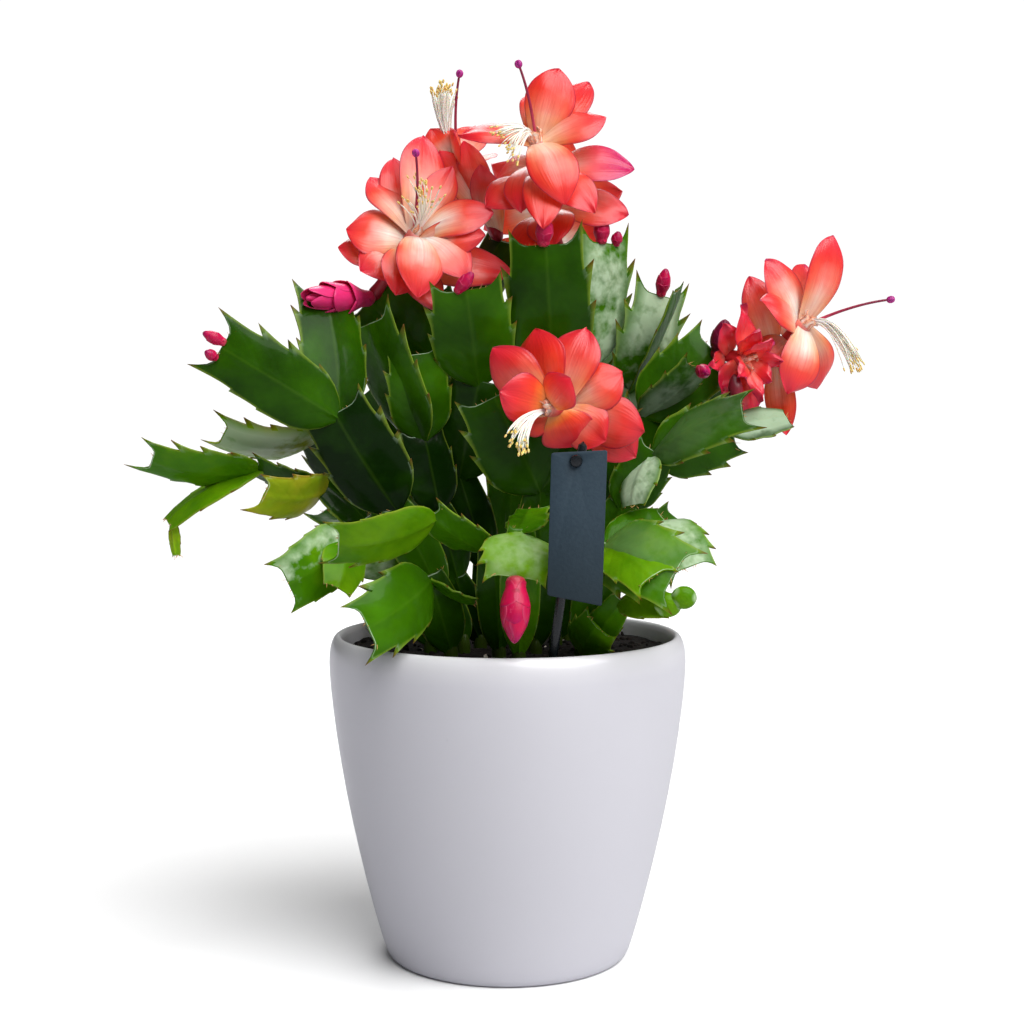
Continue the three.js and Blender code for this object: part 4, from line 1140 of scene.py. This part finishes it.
def makeTag():
    bm, _ = startPiece()
    verts = [bm.verts.new(seen(x, z, tag["depth"])) for x, z in tag["corners"]]
    bm.faces.new(verts)
    bmesh.ops.bevel(bm, geom=verts, offset=tag["round"], segments=4, profile=0.5, affect="VERTICES",
                    material=-1)
    bmesh.ops.delete(bm, geom=list(bm.faces), context="FACES_ONLY")
    ring = bmesh.ops.create_circle(bm, cap_ends=False, radius=tag["hole"], segments=28)["verts"]
    settle(bm, ring, (1, 1, 1), Quaternion((1, 0, 0), math.pi / 2), seen(*stake["peg"], tag["depth"]))
    bmesh.ops.triangle_fill(bm, use_beauty=True, edges=list(bm.edges))
    bmesh.ops.translate(bm, vec=(0, -tag["thickness"] / 2, 0), verts=bm.verts)
    lifted = bmesh.ops.extrude_face_region(bm, geom=list(bm.faces))["geom"]
    moved = [item for item in lifted if isinstance(item, bmesh.types.BMVert)]
    bmesh.ops.translate(bm, vec=(0, tag["thickness"], 0), verts=moved)
    rims = [edge for edge in bm.edges if len(edge.link_faces) == 2 and edge.calc_face_angle(0) > 1]
    bmesh.ops.bevel(bm, geom=rims, offset=tag["edge"], segments=2, profile=0.5, affect="EDGES", material=-1)
    finishPiece(bm, "tag", tagMaterial(), sharp=35)


def stakeMaterial():
    plastic = newMaterial("stakePlastic", Roughness=0.25, Specular_IOR_Level=0.5)
    scuff = grain(plastic, 500)
    return dress(plastic, blend(scuff, "#050709", "#10171d"), scuff, 0.15, 0.0003, scuff * 0.25 + 0.15)


def makeStake():
    bm, _ = startPiece()
    behind = tag["depth"] + tag["thickness"] / 2 + stake["behind"]
    atSoil = Vector((*stake["foot"], soilLevel))
    foot = atSoil - Vector((0, 0, stake["sunk"]))
    x, z = stake["peg"]
    neck = seen(x, z - stake["neck"], behind)
    top = seen(*stake["head"], behind)
    line = [foot, foot.lerp(atSoil, 0.2)] + bentLine(atSoil, atSoil.lerp(neck, 0.5), neck, stake["bends"])
    line += [neck.lerp(top, 0.6), neck.lerp(top, 0.9), top]
    rollTube(bm, line, stake["radii"], 20, plainMarks)
    peg = seen(x, z, tag["depth"])
    depths = [behind, behind - stake["pegRoot"]] + [tag["depth"] + depth for depth in stake["pegDepths"]]
    rollTube(bm, [Vector((peg.x, y, peg.z)) for y in depths], stake["pegRadii"], 24, plainMarks)
    finishPiece(bm, "tag_stake", stakeMaterial(), sharp=40)


makeTag()
makeStake()
print("tag and stake made")

# The pot as radius and height, from the middle of its foot over the lip and down to the floor inside.
pot = {
    "outside": ((0, 0.9), (36, 0.9), (38.5, 0.1), (42, 0), (43.6, 0.35), (44.9, 1.6), (47.8, 11), (51.8, 26),
                (57.2, 49), (61.4, 71.5), (64.4, 93.5), (65.4, 106), (65.35, 112), (64.6, 116), (63.2, 118.4),
                (61.9, 118.8), (60.8, 117.8), (60.5, 115)),
    "inside": ((59.6, 94), (52.4, 49), (41.5, 8), (40, 5.2), (36, 5), (0, 5)),
    "steps": 96,
}


def potMaterial():
    glaze = newMaterial("potGlaze", Roughness=0.3, Specular_IOR_Level=0.5, Coat_Weight=0.35,
                        Coat_Roughness=0.12)
    speck = grain(glaze, 700)
    white = blend(grain(glaze, 9, 2), "#d3d2d8", "#cecdd3")
    # Painted light: the glaze is lighter towards the rim, where the light from above falls on it.
    paintedRimLight = ramp(placeAlong(glaze.node_tree, "Z") * 8, (0.87, 0), (0.92, 1))
    white = blend(paintedRimLight, white, "#dad9dd")
    white = blend(ramp(grain(glaze, 160, 1), (0.8, 0), (0.83, 1)) * 0.25, white, "#a9a6b2")
    return dress(glaze, white, grain(glaze, 45, 2) + speck * 0.1, 0.08, 0.001, speck * 0.1 + 0.27)


def spinProfile(bm, profile, steps):
    verts = [bm.verts.new((radius, 0, z)) for radius, z in profile]
    edges = [bm.edges.new(pair) for pair in zip(verts, verts[1:])]
    bmesh.ops.spin(bm, geom=verts + edges, cent=(0, 0, 0), axis=(0, 0, 1), angle=2 * math.pi, steps=steps,
                   use_merge=True)
    bmesh.ops.remove_doubles(bm, verts=bm.verts, dist=weld)


def makePot():
    bm, _ = startPiece()
    spinProfile(bm, pot["outside"] + pot["inside"], pot["steps"])
    finishPiece(bm, "pot", potMaterial(), sharp=180, smoothing=1)


makePot()
print("pot made")

# The peat fills the pot to its level, with loose crumbs on top.
peat = {
    "wall": ((0, 5.4), (40, 5.4), (51.8, 49), (58.8, 94), (59.4, 110)),
    "radius": 59.8,
    "level": 112.6,
    "top": 112,  # points above this are on the surface
    "lumps": (14, 1.21),  # size and height
    "fineLumps": (3.5, 0.9),
    "rings": 26,
    "sides": 110,
    "crumbs": 420,
    "crumbSizes": (0.5, 1.7),
    "crumbShapes": ((0.5, 1), (0.4, 0.8)),  # depth and height as shares of the width
    "crumbLift": 0.1,
    "inset": 2.5,
    "pale": 0.035,  # the share of pale crumbs
}


def peatMaterial():
    soil = newMaterial("peatCrumb", Roughness=0.95, Specular_IOR_Level=0.25)
    dark = ramp(grain(soil, 420, 5), (0.35, "#080605"), (0.6, "#17110d"), (0.78, "#2e2219"))
    dark = blend(ramp(grain(soil, 900, 2), (0.74, 0), (0.77, 1)) * 0.35, dark, "#a08c74")
    pale = readMarks(soil)[-1]
    return dress(soil, blend(pale, dark, "#d8d0c2"), grain(soil, 600, 5), 0.9, 0.0015)


def peatHeight(x, y):
    size, height = peat["lumps"]
    fineSize, fineHeight = peat["fineLumps"]
    lumps = lump(x / size, y / size, 3) * height
    return peat["level"] + lumps + lump(x / fineSize, y / fineSize, 8) * fineHeight


def makePeat():
    bm, mark = startPiece()
    deep, tall = peat["crumbShapes"]
    rings = peat["rings"]
    surface = tuple((peat["radius"] * (1 - i / rings), peat["level"]) for i in range(rings + 1))
    spinProfile(bm, peat["wall"] + surface, peat["sides"])
    for vert in bm.verts:
        vert[mark] = (0, 0, 0, 0)
        if vert.co.z > peat["top"]:
            vert.co.z = peatHeight(vert.co.x, vert.co.y)
    for _ in range(peat["crumbs"]):
        angle = chance.uniform(0, 2 * math.pi)
        far = math.sqrt(chance.random()) * (peat["radius"] - peat["inset"])
        x, y = far * math.cos(angle), far * math.sin(angle)
        radius = chance.uniform(*peat["crumbSizes"])
        crumb = bmesh.ops.create_icosphere(bm, subdivisions=1, radius=radius)["verts"]
        pale = float(chance.random() < peat["pale"])
        turn = Quaternion((chance.uniform(-1, 1), chance.uniform(-1, 1), 1), chance.uniform(0, 6))
        size = (1, chance.uniform(*deep), chance.uniform(*tall))
        settle(bm, crumb, size, turn, (x, y, peatHeight(x, y) + peat["crumbLift"]))
        for vert in crumb:
            vert[mark] = (0, 0, 0, pale)
    finishPiece(bm, "peat", peatMaterial(), sharp=180)


makePeat()
print("peat made")

# Soft light from the right over a pale floor, and the camera where the layout is seen from.
studio = {
    "floor": 8,
    "white": 1.05,  # what the camera sees behind the plant
    "left": 0.07,  # the light that comes from the left and from the right
    "right": 0.23,
    "sun": 4,
    "sunAngle": 60,
    "sunFrom": (0.85, -0.95, 1.6),
    "panelAt": (-0.1, 0.9, 1.1),
    "panelTo": (0, 0, 0.2),
    "panelSize": 0.6,
    "panel": 6,
}


def makeFloor():
    bm = bmesh.new()
    bmesh.ops.create_grid(bm, x_segments=1, y_segments=1, size=studio["floor"])
    mesh = bpy.data.meshes.new("studioFloor")
    bm.to_mesh(mesh)
    bm.free()
    white = newMaterial("studioWhite", Roughness=0.9)
    path = addNode(white.node_tree, "LightPath")  # the floor throws less light back on the pot than it shows
    tint = blend(grain(white, 3, 1), "#fbfbfb", "#fefefe")
    shown = blend(Wire(path.outputs["Is Camera Ray"]), "#c4c4c9", tint)
    plug(shown, white.node_tree.nodes["Principled BSDF"].inputs["Base Color"])
    mesh.materials.append(white)
    addObject("studioFloor", mesh)


def makeWorld():
    world = bpy.data.worlds.new("studioWorld")
    world.use_nodes = True
    bpy.context.scene.world = world
    half = (studio["right"] - studio["left"]) / 2
    light = placeAlong(world.node_tree, "X", "Generated") * half + (studio["left"] + half)
    byCamera = Wire(addNode(world.node_tree, "LightPath").outputs["Is Camera Ray"])
    background = world.node_tree.nodes["Background"]
    background.inputs["Color"].default_value = (1, 1, 1, 1)
    plug(light + byCamera * (studio["white"] - light), background.inputs["Strength"])


def makeLight(name, kind, energy, towards):
    light = addObject(name, bpy.data.lights.new(name, kind))
    light.data.energy = energy
    light.rotation_euler = Vector(towards).to_track_quat("Z", "Y").to_euler()
    return light


def makeCamera():
    camera = addObject("camera", bpy.data.cameras.new("camera"))
    camera.data.lens = eye["lens"]
    camera.data.sensor_width = 36
    camera.location = (eye["x"] * mm, -eye["distance"] * mm, eye["z"] * mm)
    camera.rotation_euler = (math.pi / 2 - eye["tilt"], 0, 0)
    bpy.context.scene.camera = camera


bpy.context.scene.view_settings.view_transform = "Standard"
makeFloor()
makeWorld()
makeLight("keySun", "SUN", studio["sun"], studio["sunFrom"]).data.angle = math.radians(studio["sunAngle"])
panel = makeLight("panel0", "AREA", studio["panel"], Vector(studio["panelAt"]) - Vector(studio["panelTo"]))
panel.data.size = studio["panelSize"]
panel.location = studio["panelAt"]
makeCamera()
print("studio made")

bpy.context.view_layer.update()
